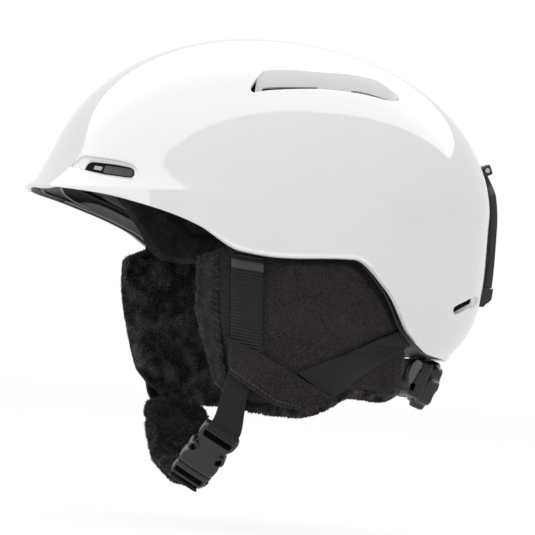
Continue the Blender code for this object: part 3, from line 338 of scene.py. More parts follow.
def fillEnds(piece):
    picked(piece)
    bpy.ops.object.mode_set(mode="EDIT")
    bpy.ops.mesh.select_all(action="SELECT")
    bpy.ops.mesh.remove_doubles(threshold=mergeGap)
    bpy.ops.mesh.select_all(action="DESELECT")
    bpy.ops.mesh.select_mode(type="EDGE")
    bpy.ops.mesh.select_non_manifold(extend=False)
    bpy.ops.mesh.fill_holes(sides=0)
    bpy.ops.mesh.select_mode(type="VERT")
    bpy.ops.object.mode_set(mode="OBJECT")


def millimetreUv(piece, across, along):  # the sheet's own map in millimetres, for weaves
    for loop in piece.data.uv_layers.active.data:
        loop.uv = (loop.uv.x * across, loop.uv.y * along)


def joined(name, pieces):
    picked(*pieces)
    if len(pieces) > 1:
        bpy.ops.object.join()
    pieces[0].name = name
    return pieces[0]


def cutAway(piece, *cutters):
    cutter = joined("cutter", cutters)
    applied(piece, "BOOLEAN", operation="DIFFERENCE", object=cutter, solver="EXACT")
    bpy.data.objects.remove(cutter)


def dress(piece, body, slot, material, *nodes, angle=40):
    picked(piece)
    bpy.ops.object.shade_smooth_by_angle(angle=math.radians(angle))
    piece.data.materials.clear()
    piece.data.materials.append(material)
    if body:
        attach(piece, body)
    if nodes:
        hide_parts(*nodes)


# materials
def hexColour(text):
    parts = [int(text[i:i + 2], 16) / 255 for i in (1, 3, 5)]
    return [*[c / 12.92 if c <= 0.04045 else ((c + 0.055) / 1.055) ** 2.4 for c in parts], 1]


def newMaterial(name, colour, roughness, **sockets):
    material = bpy.data.materials.new(name)
    material.use_nodes = True
    shader = material.node_tree.nodes["Principled BSDF"]
    shader.inputs["Base Color"].default_value = hexColour(colour)
    shader.inputs["Roughness"].default_value = roughness
    for key, value in sockets.items():
        shader.inputs[key].default_value = value
    return material, shader


def addNode(material, kind, inputs, **settings):
    made = material.node_tree.nodes.new(kind)
    for key, value in settings.items():
        setattr(made, key, value)
    for key, value in inputs.items():
        if isinstance(value, bpy.types.NodeSocket):
            material.node_tree.links.new(value, made.inputs[key])
        else:
            made.inputs[key].default_value = value
    return made


waveTurn = 2 * math.pi / 20  # a wave texture's scale for one band a unit


# two tones by share, and a relief by height
def finished(material, shader, share, dark, light, height, strength, distance, **settings):
    tones = {0: share, 6: hexColour(dark), 7: hexColour(light)}
    colour = addNode(material, "ShaderNodeMix", tones, data_type="RGBA")
    relief = {"Height": height, "Strength": strength, "Distance": distance}
    bump = addNode(material, "ShaderNodeBump", relief, **settings)
    material.node_tree.links.new(colour.outputs[2], shader.inputs["Base Color"])
    material.node_tree.links.new(bump.outputs["Normal"], shader.inputs["Normal"])
    return material


def makeShellAbs():
    # moulded ABS under clear lacquer: deep even white, mirror-like with a trace of orange peel
    material, shader = newMaterial("whiteLacqueredAbs", "#f1f1f1", 0.07, IOR=1.5)
    place = addNode(material, "ShaderNodeTexCoord", {}).outputs["Object"]
    peel = addNode(material, "ShaderNodeTexNoise", {"Vector": place, "Scale": 1 / 0.006, "Detail": 1})
    tone = addNode(material, "ShaderNodeTexNoise", {"Vector": place, "Scale": 1 / 0.05, "Detail": 2})
    return finished(material, shader, tone.outputs["Fac"], "#efefef", "#f3f3f3", peel.outputs["Fac"], 0.05,
                    0.0004)


def makeFoam():
    # expanded polystyrene: fused 3.5 mm beads with fine dark joints, dull black
    material, shader = newMaterial("blackExpandedPolystyrene", "#1c1c1d", 0.78)
    place = addNode(material, "ShaderNodeTexCoord", {}).outputs["Object"]
    beads = addNode(material, "ShaderNodeTexVoronoi",
                    {"Vector": place, "Scale": 1 / 0.0035}).outputs["Distance"]
    tint = addNode(material, "ShaderNodeMapRange", {"Value": beads, "From Min": 0.2, "From Max": 0.75})
    return finished(material, shader, tint.outputs["Result"], "#242425", "#0e0e0f", beads, 0.6, 0.0006,
                    invert=True)


def makeMoulded(name, dark, light, roughness, grain, depth, **sockets):
    # spark-eroded moulding: an even colour broken up by a fine pebbled grain
    material, shader = newMaterial(name, dark, roughness, **sockets)
    place = addNode(material, "ShaderNodeTexCoord", {}).outputs["Object"]
    pebble = addNode(material, "ShaderNodeTexNoise", {"Vector": place, "Scale": 1 / grain, "Detail": 2})
    patch = addNode(material, "ShaderNodeTexNoise", {"Vector": place, "Scale": 1 / 0.012, "Detail": 3})
    gloss = addNode(material, "ShaderNodeMapRange",
                    {"Value": pebble.outputs["Fac"], "To Min": roughness - 0.06, "To Max": roughness + 0.08})
    material.node_tree.links.new(gloss.outputs["Result"], shader.inputs["Roughness"])
    return finished(material, shader, patch.outputs["Fac"], dark, light, pebble.outputs["Fac"], 0.5, depth)


def makeLining():
    # brushed tricot: a dark matt knit whose raised fibres lighten at a low angle
    material, shader = newMaterial("brushedTricot", "#1b1a1b", 0.92,
                                   **{"Sheen Weight": 0.15, "Specular IOR Level": 0.1})
    place = addNode(material, "ShaderNodeTexCoord", {}).outputs["Object"]
    stretch = addNode(material, "ShaderNodeMapping", {"Vector": place, "Scale": (1, 1, 0.5)})
    fibre = addNode(material, "ShaderNodeTexNoise",
                    {"Vector": stretch.outputs[0], "Scale": 1 / 0.0016, "Detail": 3}).outputs["Fac"]
    patch = addNode(material, "ShaderNodeTexNoise", {"Vector": place, "Scale": 1 / 0.02, "Detail": 3})
    both = addNode(material, "ShaderNodeMath", {0: fibre, 1: patch.outputs["Fac"]}, operation="MULTIPLY")
    tint = addNode(material, "ShaderNodeMapRange",
                   {"Value": both.outputs[0], "From Min": 0.12, "From Max": 0.42})
    return finished(material, shader, tint.outputs["Result"], "#1f1d1e", "#494546", fibre, 0.5, 0.0005)


def makeTwill():
    # polyester twill: steep diagonal ribs 1.7 mm apart, broken into pale stitches
    material, shader = newMaterial("heatherTwill", "#2d2a29", 0.85,
                                   **{"Sheen Weight": 0.05, "Specular IOR Level": 0.12})
    place = addNode(material, "ShaderNodeTexCoord", {}).outputs["Object"]
    turn = addNode(material, "ShaderNodeMapping",
                   {"Vector": place, "Rotation": (math.radians(-56), 0, 0)}).outputs[0]
    stitch = addNode(material, "ShaderNodeMapping", {"Vector": turn, "Scale": (400, 1 / 0.0017, 1 / 0.0009)})
    ribs = addNode(material, "ShaderNodeTexWave",
                   {"Vector": turn, "Scale": waveTurn / 0.0017, "Distortion": 0.5}, bands_direction="Z")
    fleck = addNode(material, "ShaderNodeTexNoise", {"Vector": stitch.outputs[0], "Scale": 1.0, "Detail": 1})
    patch = addNode(material, "ShaderNodeTexNoise", {"Vector": place, "Scale": 1 / 0.014, "Detail": 2})
    heather = addNode(material, "ShaderNodeMath", {0: ribs.outputs["Fac"], 1: 0.24, 2: fleck.outputs["Fac"]},
                      operation="MULTIPLY_ADD").outputs[0]
    shade = addNode(material, "ShaderNodeMath", {0: patch.outputs["Fac"], 1: 0.35, 2: heather},
                    operation="MULTIPLY_ADD")
    tint = addNode(material, "ShaderNodeMapRange",
                   {"Value": shade.outputs[0], "From Min": 0.45, "From Max": 1.1})
    return finished(material, shader, tint.outputs["Result"], "#110f0f", "#3a3635", heather, 0.4, 0.0003)


def makeWebbing():
    # polyester webbing: cross ribs 1.9 mm apart with plain woven edges; the colour is paler on the rib tops
    # as a painted highlight and darker in the grooves as painted shade
    material, shader = newMaterial("ribbedWebbing", "#262526", 0.5, **{"Specular IOR Level": 0.24})
    place = addNode(material, "ShaderNodeTexCoord", {}).outputs["UV"]
    ribs = addNode(material, "ShaderNodeTexWave",
                   {"Vector": place, "Scale": waveTurn / 1.9, "Distortion": 0.2}, bands_direction="Y")
    threads = addNode(material, "ShaderNodeTexWave",
                      {"Vector": place, "Scale": waveTurn / 1.2, "Distortion": 0.5})
    patch = addNode(material, "ShaderNodeTexNoise", {"Vector": place, "Scale": 1 / 6, "Detail": 3})
    relief = addNode(material, "ShaderNodeMath", {0: threads.outputs["Fac"], 1: 0.25, 2: ribs.outputs["Fac"]},
                     operation="MULTIPLY_ADD").outputs[0]
    # painted highlight and shade: the colour share follows the ribs' height
    tint = addNode(material, "ShaderNodeMath", {0: relief, 1: patch.outputs["Fac"]}, operation="MULTIPLY")
    return finished(material, shader, tint.outputs[0], "#0b0a0b", "#242223", relief, 0.8, 0.00045)


def makePlush(name, root, tip):
    # knitted pile plush of black fibres: painted shade darkens the backing and the fibre roots and a painted
    # highlight pales the fibre tips, in clumps a few millimetres wide
    material, shader = newMaterial(name, root, 0.8, **{"Sheen Weight": 0.2, "Specular IOR Level": 0.25})
    place = addNode(material, "ShaderNodeTexCoord", {}).outputs["Object"]
    height = addNode(material, "ShaderNodeAttribute", {}, attribute_name="pile")
    # clump patches: partly random tone, partly painted light and shade of the nap's direction
    napShadeNoise = addNode(material, "ShaderNodeTexNoise", {"Vector": place, "Scale": 1 / 0.010, "Detail": 4})
    clumpAndNapShade = addNode(material, "ShaderNodeMapRange", {"Value": napShadeNoise.outputs["Fac"], "From Min": 0.42,
                                                     "From Max": 0.62, "To Min": 0.06, "To Max": 1.0})
    fibre = addNode(material, "ShaderNodeTexNoise", {"Vector": place, "Scale": 1 / 0.0012, "Detail": 2})
    tipLightAndShade = addNode(material, "ShaderNodeMath", {0: height.outputs["Fac"], 1: clumpAndNapShade.outputs["Result"]},
                   operation="MULTIPLY")
    tint = addNode(material, "ShaderNodeMapRange",
                   {"Value": tipLightAndShade.outputs[0], "From Min": 0.05, "From Max": 0.8})
    return finished(material, shader, tint.outputs["Result"], root, tip, fibre.outputs["Fac"], 0.7, 0.0008)


def makeSuede():
    # brushed suede cloth: a smooth short nap, charcoal with paler rubbed patches
    material, shader = newMaterial("napSuede", "#272425", 0.85,
                                   **{"Sheen Weight": 0.2, "Specular IOR Level": 0.15})
    place = addNode(material, "ShaderNodeTexCoord", {}).outputs["Object"]
    nap = addNode(material, "ShaderNodeTexNoise",
                  {"Vector": place, "Scale": 1 / 0.0011, "Detail": 3}).outputs["Fac"]
    rub = addNode(material, "ShaderNodeTexNoise", {"Vector": place, "Scale": 1 / 0.006, "Detail": 3})
    both = addNode(material, "ShaderNodeMath", {0: nap, 1: rub.outputs["Fac"]}, operation="MULTIPLY")
    tint = addNode(material, "ShaderNodeMapRange",
                   {"Value": both.outputs[0], "From Min": 0.12, "From Max": 0.42})
    return finished(material, shader, tint.outputs["Result"], "#282425", "#565152", nap, 0.6, 0.0005)


def makeSteel():
    # plated steel: bright grey, finely turned
    material, shader = newMaterial("platedSteel", "#b4b4b6", 0.3, Metallic=1.0)
    place = addNode(material, "ShaderNodeTexCoord", {}).outputs["Object"]
    turned = addNode(material, "ShaderNodeTexNoise", {"Vector": place, "Scale": 1 / 0.0006, "Detail": 2})
    gloss = addNode(material, "ShaderNodeMapRange",
                    {"Value": turned.outputs["Fac"], "To Min": 0.22, "To Max": 0.4})
    material.node_tree.links.new(gloss.outputs["Result"], shader.inputs["Roughness"])
    return material


def makeMesh():
    # pressed nylon mesh: a dark lattice with open cells, drawn 2.2 mm apart so that they show
    material, shader = newMaterial("nylonMesh", "#151414", 0.6)
    place = addNode(material, "ShaderNodeTexCoord", {}).outputs["UV"]
    turn = addNode(material, "ShaderNodeMapping",
                   {"Vector": place, "Rotation": (0, 0, math.radians(45))}).outputs[0]
    across = addNode(material, "ShaderNodeTexWave", {"Vector": turn, "Scale": waveTurn / 2.2})
    along = addNode(material, "ShaderNodeTexWave", {"Vector": turn, "Scale": waveTurn / 2.2},
                    bands_direction="Y")
    cell = addNode(material, "ShaderNodeMath", {0: across.outputs["Fac"], 1: along.outputs["Fac"]},
                   operation="MAXIMUM").outputs[0]
    tint = addNode(material, "ShaderNodeMapRange", {"Value": cell, "From Min": 0.45, "From Max": 0.95})
    return finished(material, shader, tint.outputs["Result"], "#2a2523", "#958a85", cell, 0.8, 0.0006)


shellAbs = makeShellAbs()
# bare ABS off a blasted mould with a dull satin skin: white, greyed as painted shade of the crown vents'
# recess
shadedSatinAbs = makeMoulded("shadedSatinAbs", "#d0d0d1", "#d6d6d7", 0.55, 0.0008, 0.00004)
blackFoam = makeFoam()
blackNylon = makeMoulded("texturedNylon", "#0d0d0e", "#141415", 0.48, 0.0007, 0.0001)
charcoalAcetal = makeMoulded("satinAcetal", "#151516", "#1c1c1d", 0.36, 0.0009, 0.00006)
# grey nylon for the brim's side bands: its own grey, lightened as painted light for the bounce off the floor
# under the brim
brimNylonPaintedLight = makeMoulded("brimNylonPaintedLight", "#7c7c7e", "#89898b", 0.6, 0.0009, 0.0001, **{"Specular IOR Level": 0.3})
mattNylon = makeMoulded("mattNylon", "#080808", "#0d0d0d", 0.8, 0.0007, 0.0001, **{"Specular IOR Level": 0.1})
greyNylon = makeMoulded("greyNylon", "#363637", "#404041", 0.55, 0.0008, 0.0001,
                        **{"Specular IOR Level": 0.2})
paleNylon = makeMoulded("paleNylon", "#a6a6a7", "#b2b2b3", 0.45, 0.0008, 0.0001,
                        **{"Specular IOR Level": 0.3})
softRubber = makeMoulded("softRubber", "#131111", "#1b1919", 0.52, 0.0008, 0.00008)
# close woven nylon strip over the front strap's fold, with a soft shine; its colour, paler than the webbing,
# is a painted highlight
foldHighlightTape = makeMoulded("foldHighlightTape", "#2b2a2a", "#383637", 0.42, 0.0012, 0.00012)
# bonded nylon thread: dark, slightly shiny twisted strands
bondedThread = makeMoulded("bondedThread", "#262424", "#363333", 0.45, 0.0005, 0.0001)
tricot = makeLining()
twill = makeTwill()
webbing = makeWebbing()
# the plush's pale tip colour is a painted highlight over the black of its roots
plush = makePlush("blackPilePlush", "#050405", "#67615f")
# a copy of the plush with darker tips: painted shade on the chin pad against the strong light it gets from
# below and the front
shadedChinPlush = makePlush("shadedCopyPlush", "#030303", "#423d3d")
suede = makeSuede()
steel = makeSteel()
nylonMesh = makeMesh()
print("materials made")


# vents: matched outlines on the skin and at the bottom of the funnel, in degrees and millimetres
ventSet = {
    "lip": 0.0008, "samples": 112, "cut": 0.0062,
    "front": {
        "outer": ((16.8, 45.7), (18.1, 48.8), (19.3, 51.3), (21.3, 52.0), (25.4, 51.4), (30.1, 50.4),
                  (34.2, 49.2), (36.6, 47.9), (38.4, 45.5), (39.1, 42.5), (38.9, 40.2), (38.0, 39.1),
                  (34.2, 39.7), (30.0, 40.6), (23.6, 43.2), (20.0, 44.6)),
        "inner": ((21.0, 46.0), (21.1, 48.2), (21.7, 49.4), (23.0, 50.0), (26.9, 49.5), (31.7, 48.6),
                  (34.8, 47.7), (36.4, 46.8), (37.3, 45.2), (37.6, 43.2), (37.3, 41.9), (36.5, 41.5),
                  (33.1, 42.1), (28.6, 43.0), (22.6, 44.9), (21.3, 45.5)),
        "depth": 0.0037,
    },
    "rear": {
        "outer": ((147.3, -22.5), (147.7, -20.3), (151.5, -17.4), (155.6, -14.5), (159.3, -12.7),
                  (161.8, -13.4), (162.6, -16.4), (161.4, -18.8), (157.6, -20.1), (154.0, -22.3),
                  (150.2, -25.0), (148.3, -24.8)),
        "inner": ((148.4, -22.7), (148.8, -21.0), (152.6, -18.2), (157.2, -15.4), (159.6, -14.6),
                  (160.9, -15.2), (161.1, -16.8), (160.0, -18.2), (157.2, -19.6), (154.2, -21.7),
                  (151.3, -24.3), (149.3, -24.4)),
        "depth": 0.0037,
    },
    "top": {
        "outer": ((68.8, 96.9), (67.6, 99.5), (69.0, 104.9), (70.7, 109.4), (73.4, 111.6), (83.5, 113.1),
                  (92.9, 113.5), (102.5, 113.8), (114.3, 114.5), (121.9, 114.5), (128.0, 114.0),
                  (132.0, 112.0), (133.4, 108.2), (134.2, 103.9), (132.6, 101.4), (130.0, 100.8),
                  (125.3, 101.3), (118.8, 102.6), (111.0, 103.2), (98.9, 103.1), (92.7, 102.4),
                  (82.8, 100.8), (75.3, 99.2), (71.2, 97.8)),
    },
}


def skinSpot(side, phi, z, depth):
    return skinPoint(side * phi, z, depth + flank(phi, z))


def outlineOf(points):
    count = ventSet["samples"]
    return [closedAt(points, k * len(points) / count) for k in range(count)]


def widened(outline, amount):  # an outline on the skin moved outwards by a length
    count = len(outline)
    made = []
    for k in range(count):
        phi, z = outline[k]
        scale = math.radians(1) * ringPoint(phi, z / 1000, skinInset(0)).xy.length * 1000
        run = (outline[(k + 1) % count] - outline[k - 1]) * np.array((scale, 1))
        out = np.array((-run[1], run[0])) / max(np.linalg.norm(run), 1e-9)
        made.append(np.array((phi + out[0] * amount * 1000 / scale, z + out[1] * amount * 1000)))
    return made


def ringLoft(name, rings, ends):
    count = len(rings[0])
    piece = addSheet(name, count, len(rings) - 1, lambda u, v: Vector((u, v, 0)))
    for vert in piece.data.vertices:
        k = round(vert.co.x * count) % count
        level = round(vert.co.y * (len(rings) - 1))
        vert.co = rings[level][k]
    if ends:
        fillEnds(piece)
    return closed(piece)


def ventCutter(kind, side):
    r = ventSet["lip"]
    outline = outlineOf(ventSet[kind]["outer"])
    # how much of the lip's rounding each point takes: little on a crown vent's upper edge or a wedge's tip
    if kind == "top":
        middle = sum(outline)[1] / len(outline)
        soft = [1 - ease((p[1] - middle) / 2.5 + 0.5) for p in outline]
    else:
        tip = min(p[0] for p in outline)
        soft = [0.1 + 0.9 * ease((p[0] - tip - 0.5) / 3) for p in outline]
    levels = [(-0.004, r + 0.0012), (-0.0002, r + 0.0001)]
    levels += [(d * r, r - math.sqrt(max(r * r - (r - d * r) ** 2, 0))) for d in (0.03, 0.12, 0.3, 0.6, 1)]
    levels += [(ventSet["cut"], 0)]
    rings = []
    for depth, wide in levels:
        spread = widened(outline, wide)
        rings.append([skinSpot(side, *(lerp(o, w, k) * np.array((1, 0.001))), depth)
                      for o, w, k in zip(outline, spread, soft)])
    return ringLoft("ventCutter", rings, True)


def buildShell():
    s = shellSet

    def place(u, v):
        phi = 360 * u
        above = tauAt(rimZ(phi) + s["rimZone"], skinInset(0))
        # the last rows close up towards the rim
        below = (v * s["rows"] - s["rows"] + s["rimRows"]) / s["rimRows"]
        tau = lerp(above, tauAt(rimZ(phi), skinInset(0)), below)
        if below < 0:
            tau = above * (v / (1 - s["rimRows"] / s["rows"])) ** s["crowding"]
        spot = formPoint(phi, tau, skinInset(0))
        roll = s["rimRoll"] * ease(1 - (spot.z - rimZ(phi)) / s["rimRun"]) ** s["rollPower"]
        roll *= ease((fromFront(phi) - s["rollFrom"]) / s["rollRun"])
        dent = flank(phi, spot.z) - roll
        return spot - skinNormal(phi, min(spot.z, s["normalTop"])) * dent if abs(dent) > 1e-6 else spot

    shell = closed(addSheet("shell", s["columns"], s["rows"], place))
    middle = shell.data.polygons[len(shell.data.polygons) // 2]
    if middle.normal.dot(middle.center) < 0:
        shell.data.flip_normals()
    applied(shell, "SOLIDIFY", thickness=s["wall"], offset=-1, use_even_offset=True)
    bevelled(shell, s["edgeRound"], 3)
    cutAway(shell, *[ventCutter(kind, side) for side in sideNames for kind in ("front", "top", "rear")])
    funnels = []
    for side in sideNames:
        for kind in ("front", "rear"):
            outer, inner = [outlineOf(ventSet[kind][edge]) for edge in ("outer", "inner")]
            deep = ventSet[kind]["depth"]
            # depth, and share of the way from the outer outline to the inner one
            levels = ((0.0016, 0.0), (0.0018, 0.02), (0.0022, 0.2), (0.0026, 0.5), (0.0031, 0.8),
                      (deep - 0.0002, 0.97), (deep + 0.0003, 1.0), (deep + 0.0004, 0.9), (deep + 0.0002, 0.5),
                      (0.0030, 0.1), (0.0026, -0.03))
            rings = [[skinSpot(side, lerp(o[0], i[0], share), lerp(o[1], i[1], share) / 1000, depth)
                      for o, i in zip(outer, inner)] for depth, share in levels]
            funnels.append(ringLoft("funnel", [*rings, rings[0]], False))
    shell = joined("gloss_shell", [shell] + funnels)
    dress(shell, "helmet", "shell_abs", shellAbs, "outer_shell", angle=38)


buildShell()
print("shell built")


# crown vents: floors that leave the skin along the upper edge and dive under the lower, with two slits
scoopSet = {"drop": 0.0043, "wall": 0.0013, "upper": (2.2, 13.0), "lower": (23.7, 14.2), "under": 0.10,
            "slits": ((0.10, 0.47), (0.60, 0.90)), "slitReach": 0.71, "slitSoft": 0.015, "rearRun": 0.16,
            "rearDrop": 0.15, "dive": 1.1, "inside": 0.00006}


def buildScoop(side):
    s = scoopSet
    name = sideNames[side]

    def spot(u, v, extra):
        slit = max(ease((u - a) / s["slitSoft"]) * ease((b - u) / s["slitSoft"]) for a, b in s["slits"])
        rear = ease((1 - u) / s["rearRun"])
        reach = v * lerp(1 + s["under"] * rear, s["slitReach"], slit)
        top = closedAt(ventSet["top"]["outer"], lerp(*s["upper"], u))
        low = closedAt(ventSet["top"]["outer"], lerp(*s["lower"], u))
        at = lerp(top, low, reach)
        inside = s["inside"] * (1 - v)
        depth = s["drop"] * lerp(s["rearDrop"], 1, rear) * reach ** s["dive"] + extra
        return skinSpot(side, at[0], at[1] / 1000 - inside, depth)

    floor = layer(f"scoop_floor_{name}", 110, 20, spot, 0, s["wall"])
    # the floor's grey is painted shade of the vent recess
    dress(floor, "helmet", "shell_abs", shadedSatinAbs, f"top_vent_scoop_{name}", angle=60)


# dark inserts behind the brow and rear vents; the brow ones carry a slider panel and its tab
grilleSet = {"seat": 0.0043, "lap": 0.0018, "floor": 0.0052, "corner": 0.12,
             "panel": {"from": 0.40, "to": 0.93, "half": 2.3, "stand": 0.0042},
             "tab": {"from": 0.20, "to": 0.36, "half": 1.1, "stand": 0.0041}}


def buildGrille(side, kind):
    s = grilleSet
    name = sideNames[side]
    inner = widened(outlineOf(ventSet[kind]["inner"]), s["lap"])
    centre = sum(inner) / len(inner)
    # share of the outline and depth, round the plate's section
    levels = ((0.02, 0.0057), (0.5, 0.0057), (0.97, 0.0057), (1.0, 0.0055), (1.0, 0.0047), (0.96, s["seat"]),
              (0.84, s["seat"] + 0.0001), (0.80, 0.0050), (0.5, s["floor"]), (0.02, s["floor"]))
    rings = [[skinSpot(side, *(lerp(centre, p, share) * np.array((1, 0.001))), depth) for p in inner]
             for share, depth in levels]
    plate = ringLoft(f"grille_{kind}_{name}", rings, True)
    dress(plate, "helmet", "black_plastic", mattNylon, f"{kind}_vent_grille_{name}")
    if kind == "rear":
        return
    low, high = min(p[0] for p in inner), max(p[0] for p in inner)
    slope = np.polyfit([p[0] for p in inner], [p[1] for p in inner], 1)
    for part, finish in (("panel", greyNylon), ("tab", paleNylon)):
        g = s[part]

        def face(u, v, depth, g=g):
            a, b = 2 * u - 1, 2 * v - 1
            along = 0.5 + 0.5 * a * math.sqrt(1 - s["corner"] * b * b)
            phi = lerp(low, high, lerp(g["from"], g["to"], along))
            rise = g["half"] * b * math.sqrt(1 - s["corner"] * a * a)
            return skinSpot(side, phi, (slope[0] * phi + slope[1] + rise) / 1000, depth)

        slab = layer(f"vent_{part}_{name}", 24, 10, face, g["stand"], s["floor"])
        bevelled(slab, 0.0003)
        dress(slab, "helmet", "charcoal_plastic", finish)


for hand in sideNames:
    buildScoop(hand)
    buildGrille(hand, "front")
    buildGrille(hand, "rear")
print("vents built")


# foam liner with its bead texture and the vent channels
def buildLiner():
    s = foamSet

    def place(u, v, inset):
        phi = 360 * u
        return formPoint(phi, v ** s["crowding"] * tauAt(rimZ(phi) + s["lift"], inset), inset)

    outer = skinInset(shellSet["wall"] + s["gap"])
    liner = layer("liner", s["columns"], s["rows"], place, outer, foamInset(0))
    bevelled(liner, s["edgeRound"], 3)
    cutters = []
    for side in sideNames:
        for kind, share in (("front", 0.8), ("top", 0.72), ("rear", 0.8)):
            outline = outlineOf(ventSet[kind].get("inner", ventSet[kind]["outer"]))
            centre = sum(outline) / len(outline)
            small = [lerp(centre, p, share) for p in outline]
            wide = widened(outline, 0.0035)
            rings = [[skinSpot(side, p[0], p[1] / 1000, depth) for p in ring]
                     for depth, ring in ((0.001, wide), (0.0072, wide), (0.0085, small), (0.052, small))]
            cutters.append(ringLoft("channel", rings, True))
    cutAway(liner, *cutters)
    dress(liner, "helmet", "eps_foam", blackFoam, "foam_liner", angle=45)


buildLiner()


# rim trim: a soft bead inside the shell's edge and a thin gasket that closes the edge from below
trimSet = {"radius": 0.0013, "lift": 0.0016, "gap": 0.0016,
           # inset and lift of the gasket's section, in millimetres
           "gasket": ((1.0, -0.15), (1.5, -0.40), (2.7, -0.45), (3.2, -0.10), (3.2, 4.5), (3.2, 8.2),
                      (2.9, 8.4), (2.65, 8.1), (2.65, 4.0), (2.65, 0.3), (2.2, 0.1), (1.3, 0.1))}


def rimSpot(phi, inset, lift):
    z = rimZ(phi) + lift
    return ringPoint(phi, z, skinInset(inset / skinNormal(phi, z).xy.length))


def buildTrim():
    s = trimSet
    depth = shellSet["wall"] + s["gap"] + s["radius"]
    bead = addTube("rim_bead", 360, 10, lambda t: rimSpot(360 * t, depth, s["lift"]), s["radius"], True)
    section = [*s["gasket"], s["gasket"][0]]
    rings = [[rimSpot(phi, inset / 1000, lift / 1000) for phi in range(360)] for inset, lift in section]
    gasket = ringLoft("gasket", rings, False)
    trim = joined("rim_bead", [bead, gasket])
    dress(trim, "helmet", "black_plastic", blackNylon, "rim_trim")


buildTrim()


# brim underside: a channel behind the bead, with a lens of mesh each side and a ridge round it
brimSet = {
    "span": 56, "wall": 0.0005, "blur": 0.04, "endRun": 9, "endInset": 9.5, "endLift": 8.2, "lean": 0.6,
    "edge": 0.0006,
    # inset and lift along each section, in millimetres
    "section": ((7.0, 1.0), (7.3, 2.2), (8.2, 4.8), (9.5, 6.9), (11.4, 7.6), (16.0, 7.6), (18.3, 7.0),
                (20.2, 5.3)),
    "band": {"from": 32, "to": 64, "frontShare": 0.30, "rearShare": 0.35, "stand": 0.0012, "back": 0.0004,
             "section": ((5.4, 0.6), (7.0, 1.0), (7.3, 2.2), (8.2, 4.8), (9.3, 6.4))},
    "mesh": {"from": 2, "to": 41, "low": 0.05, "least": 0.02, "high": 0.54, "stand": 0.0004, "ridge": 0.0006,
             "swell": 3.0},
}


def brimSpot(phi, v, drop):
    s = brimSet
    at = (alongLine(s["section"], v) + alongLine(s["section"], min(v + s["blur"], 1))) / 2
    ends = ease((s["span"] - abs(phi)) / s["endRun"])
    inset = lerp(s["endInset"], at.x, ends) / 1000
    lift = lerp(s["endLift"], at.y, ends) / 1000
    return ringPoint(phi, rimZ(phi) + lift - drop, skinInset(inset + drop * s["lean"]))


# grey band between the bead and the channel, widening behind the mesh
def sideBand(side, u, v, drop):
    s = brimSet["band"]
    phi = lerp(s["from"], s["to"], u)
    wide = lerp(s["frontShare"], 1, ease(u / 0.40)) * lerp(1, s["rearShare"], ease((u - 0.80) / 0.20))
    at = alongLine(s["section"], v * wide)
    inset = at.x / 1000 + drop * brimSet["lean"]
    return ringPoint(side * phi, rimZ(phi) + at.y / 1000 - drop, skinInset(inset))


def buildBrim():
    s = brimSet

    def under(u, v, drop):
        return brimSpot(lerp(-s["span"], s["span"], u), v, drop)

    panel = layer("brim_channel", 120, 28, under, 0.0, -s["wall"])
    edges = [addTube("ridge", 120, 8, lambda t: under(t, v, 0.0001), s["edge"]) for v in (0.0, 1.0)]
    panel = joined("brim_channel", [panel] + edges)
    dress(panel, "helmet", "charcoal_plastic", blackFoam, "brim_underside")
    m = s["mesh"]
    least = m["low"] + m["least"]
    for side, name in sideNames.items():
        def lens(u, v, drop):
            high = lerp(least, lerp(m["high"], least, ease((u - 0.30) / 0.70)), ease(u / 0.10) ** 0.5)
            return brimSpot(side * lerp(m["from"], m["to"], u), lerp(m["low"], high, v), m["stand"] + drop)

        net = layer(f"brim_mesh_{name}", 70, 12, lens, 0.0, -0.0003)
        millimetreUv(net, 84, 8)
        dress(net, "helmet", "black_plastic", nylonMesh)
        ridge = addTube(f"brim_ridge_{name}", 90, 12, lambda t: lens(t, 1.0, 0.0002),
                        lambda t: m["ridge"] * lerp(1, m["swell"], ease(t / 0.15) * ease((0.75 - t) / 0.5)))
        dress(ridge, "helmet", "charcoal_plastic", paleNylon)
        band = layer(f"brim_band_{name}", 60, 14, lambda u, v, drop: sideBand(side, u, v, drop),
                     s["band"]["stand"], s["band"]["back"])
        dress(band, "helmet", "charcoal_plastic", brimNylonPaintedLight)


buildBrim()
print("liner, trim and brim built")


# ear pads: outline on the wall, u from front to rear and v from top to bottom
padSet = {
    "inset": 0.0101, "tuck": 0.006, "frontY": -0.076, "sweep": 0.014, "rearY": 0.062, "topZ": -0.004,
    "topSlope": 0.55,
    "bottom": ((-0.076, -0.052), (-0.063, -0.072), (-0.051, -0.084), (-0.037, -0.0922), (-0.011, -0.0927),
               (0.007, -0.088), (0.0255, -0.080), (0.050, -0.081), (0.062, -0.0755)),
    "lean": 0.006, "leanStart": -0.020, "leanRun": 0.070, "curlStart": 0.005, "curlRun": 0.040,
    "curlZ": -0.047, "forward": {1: 0.0, -1: 0.010}, "coverWall": 0.003,
    "coverMargins": (0.0105, 0.002, 0.006), "plushGap": 0.0009, "plushEdge": 0.006, "plushCrown": 0.010,
    "edgeTuck": 0.0020, "rollFrom": -0.006, "rollShare": 0.080, "roll": 0.0044, "pucker": 0.0011,
    "pillow": 0.0034, "hem": 0.0014, "plushBorder": 0.16,
}


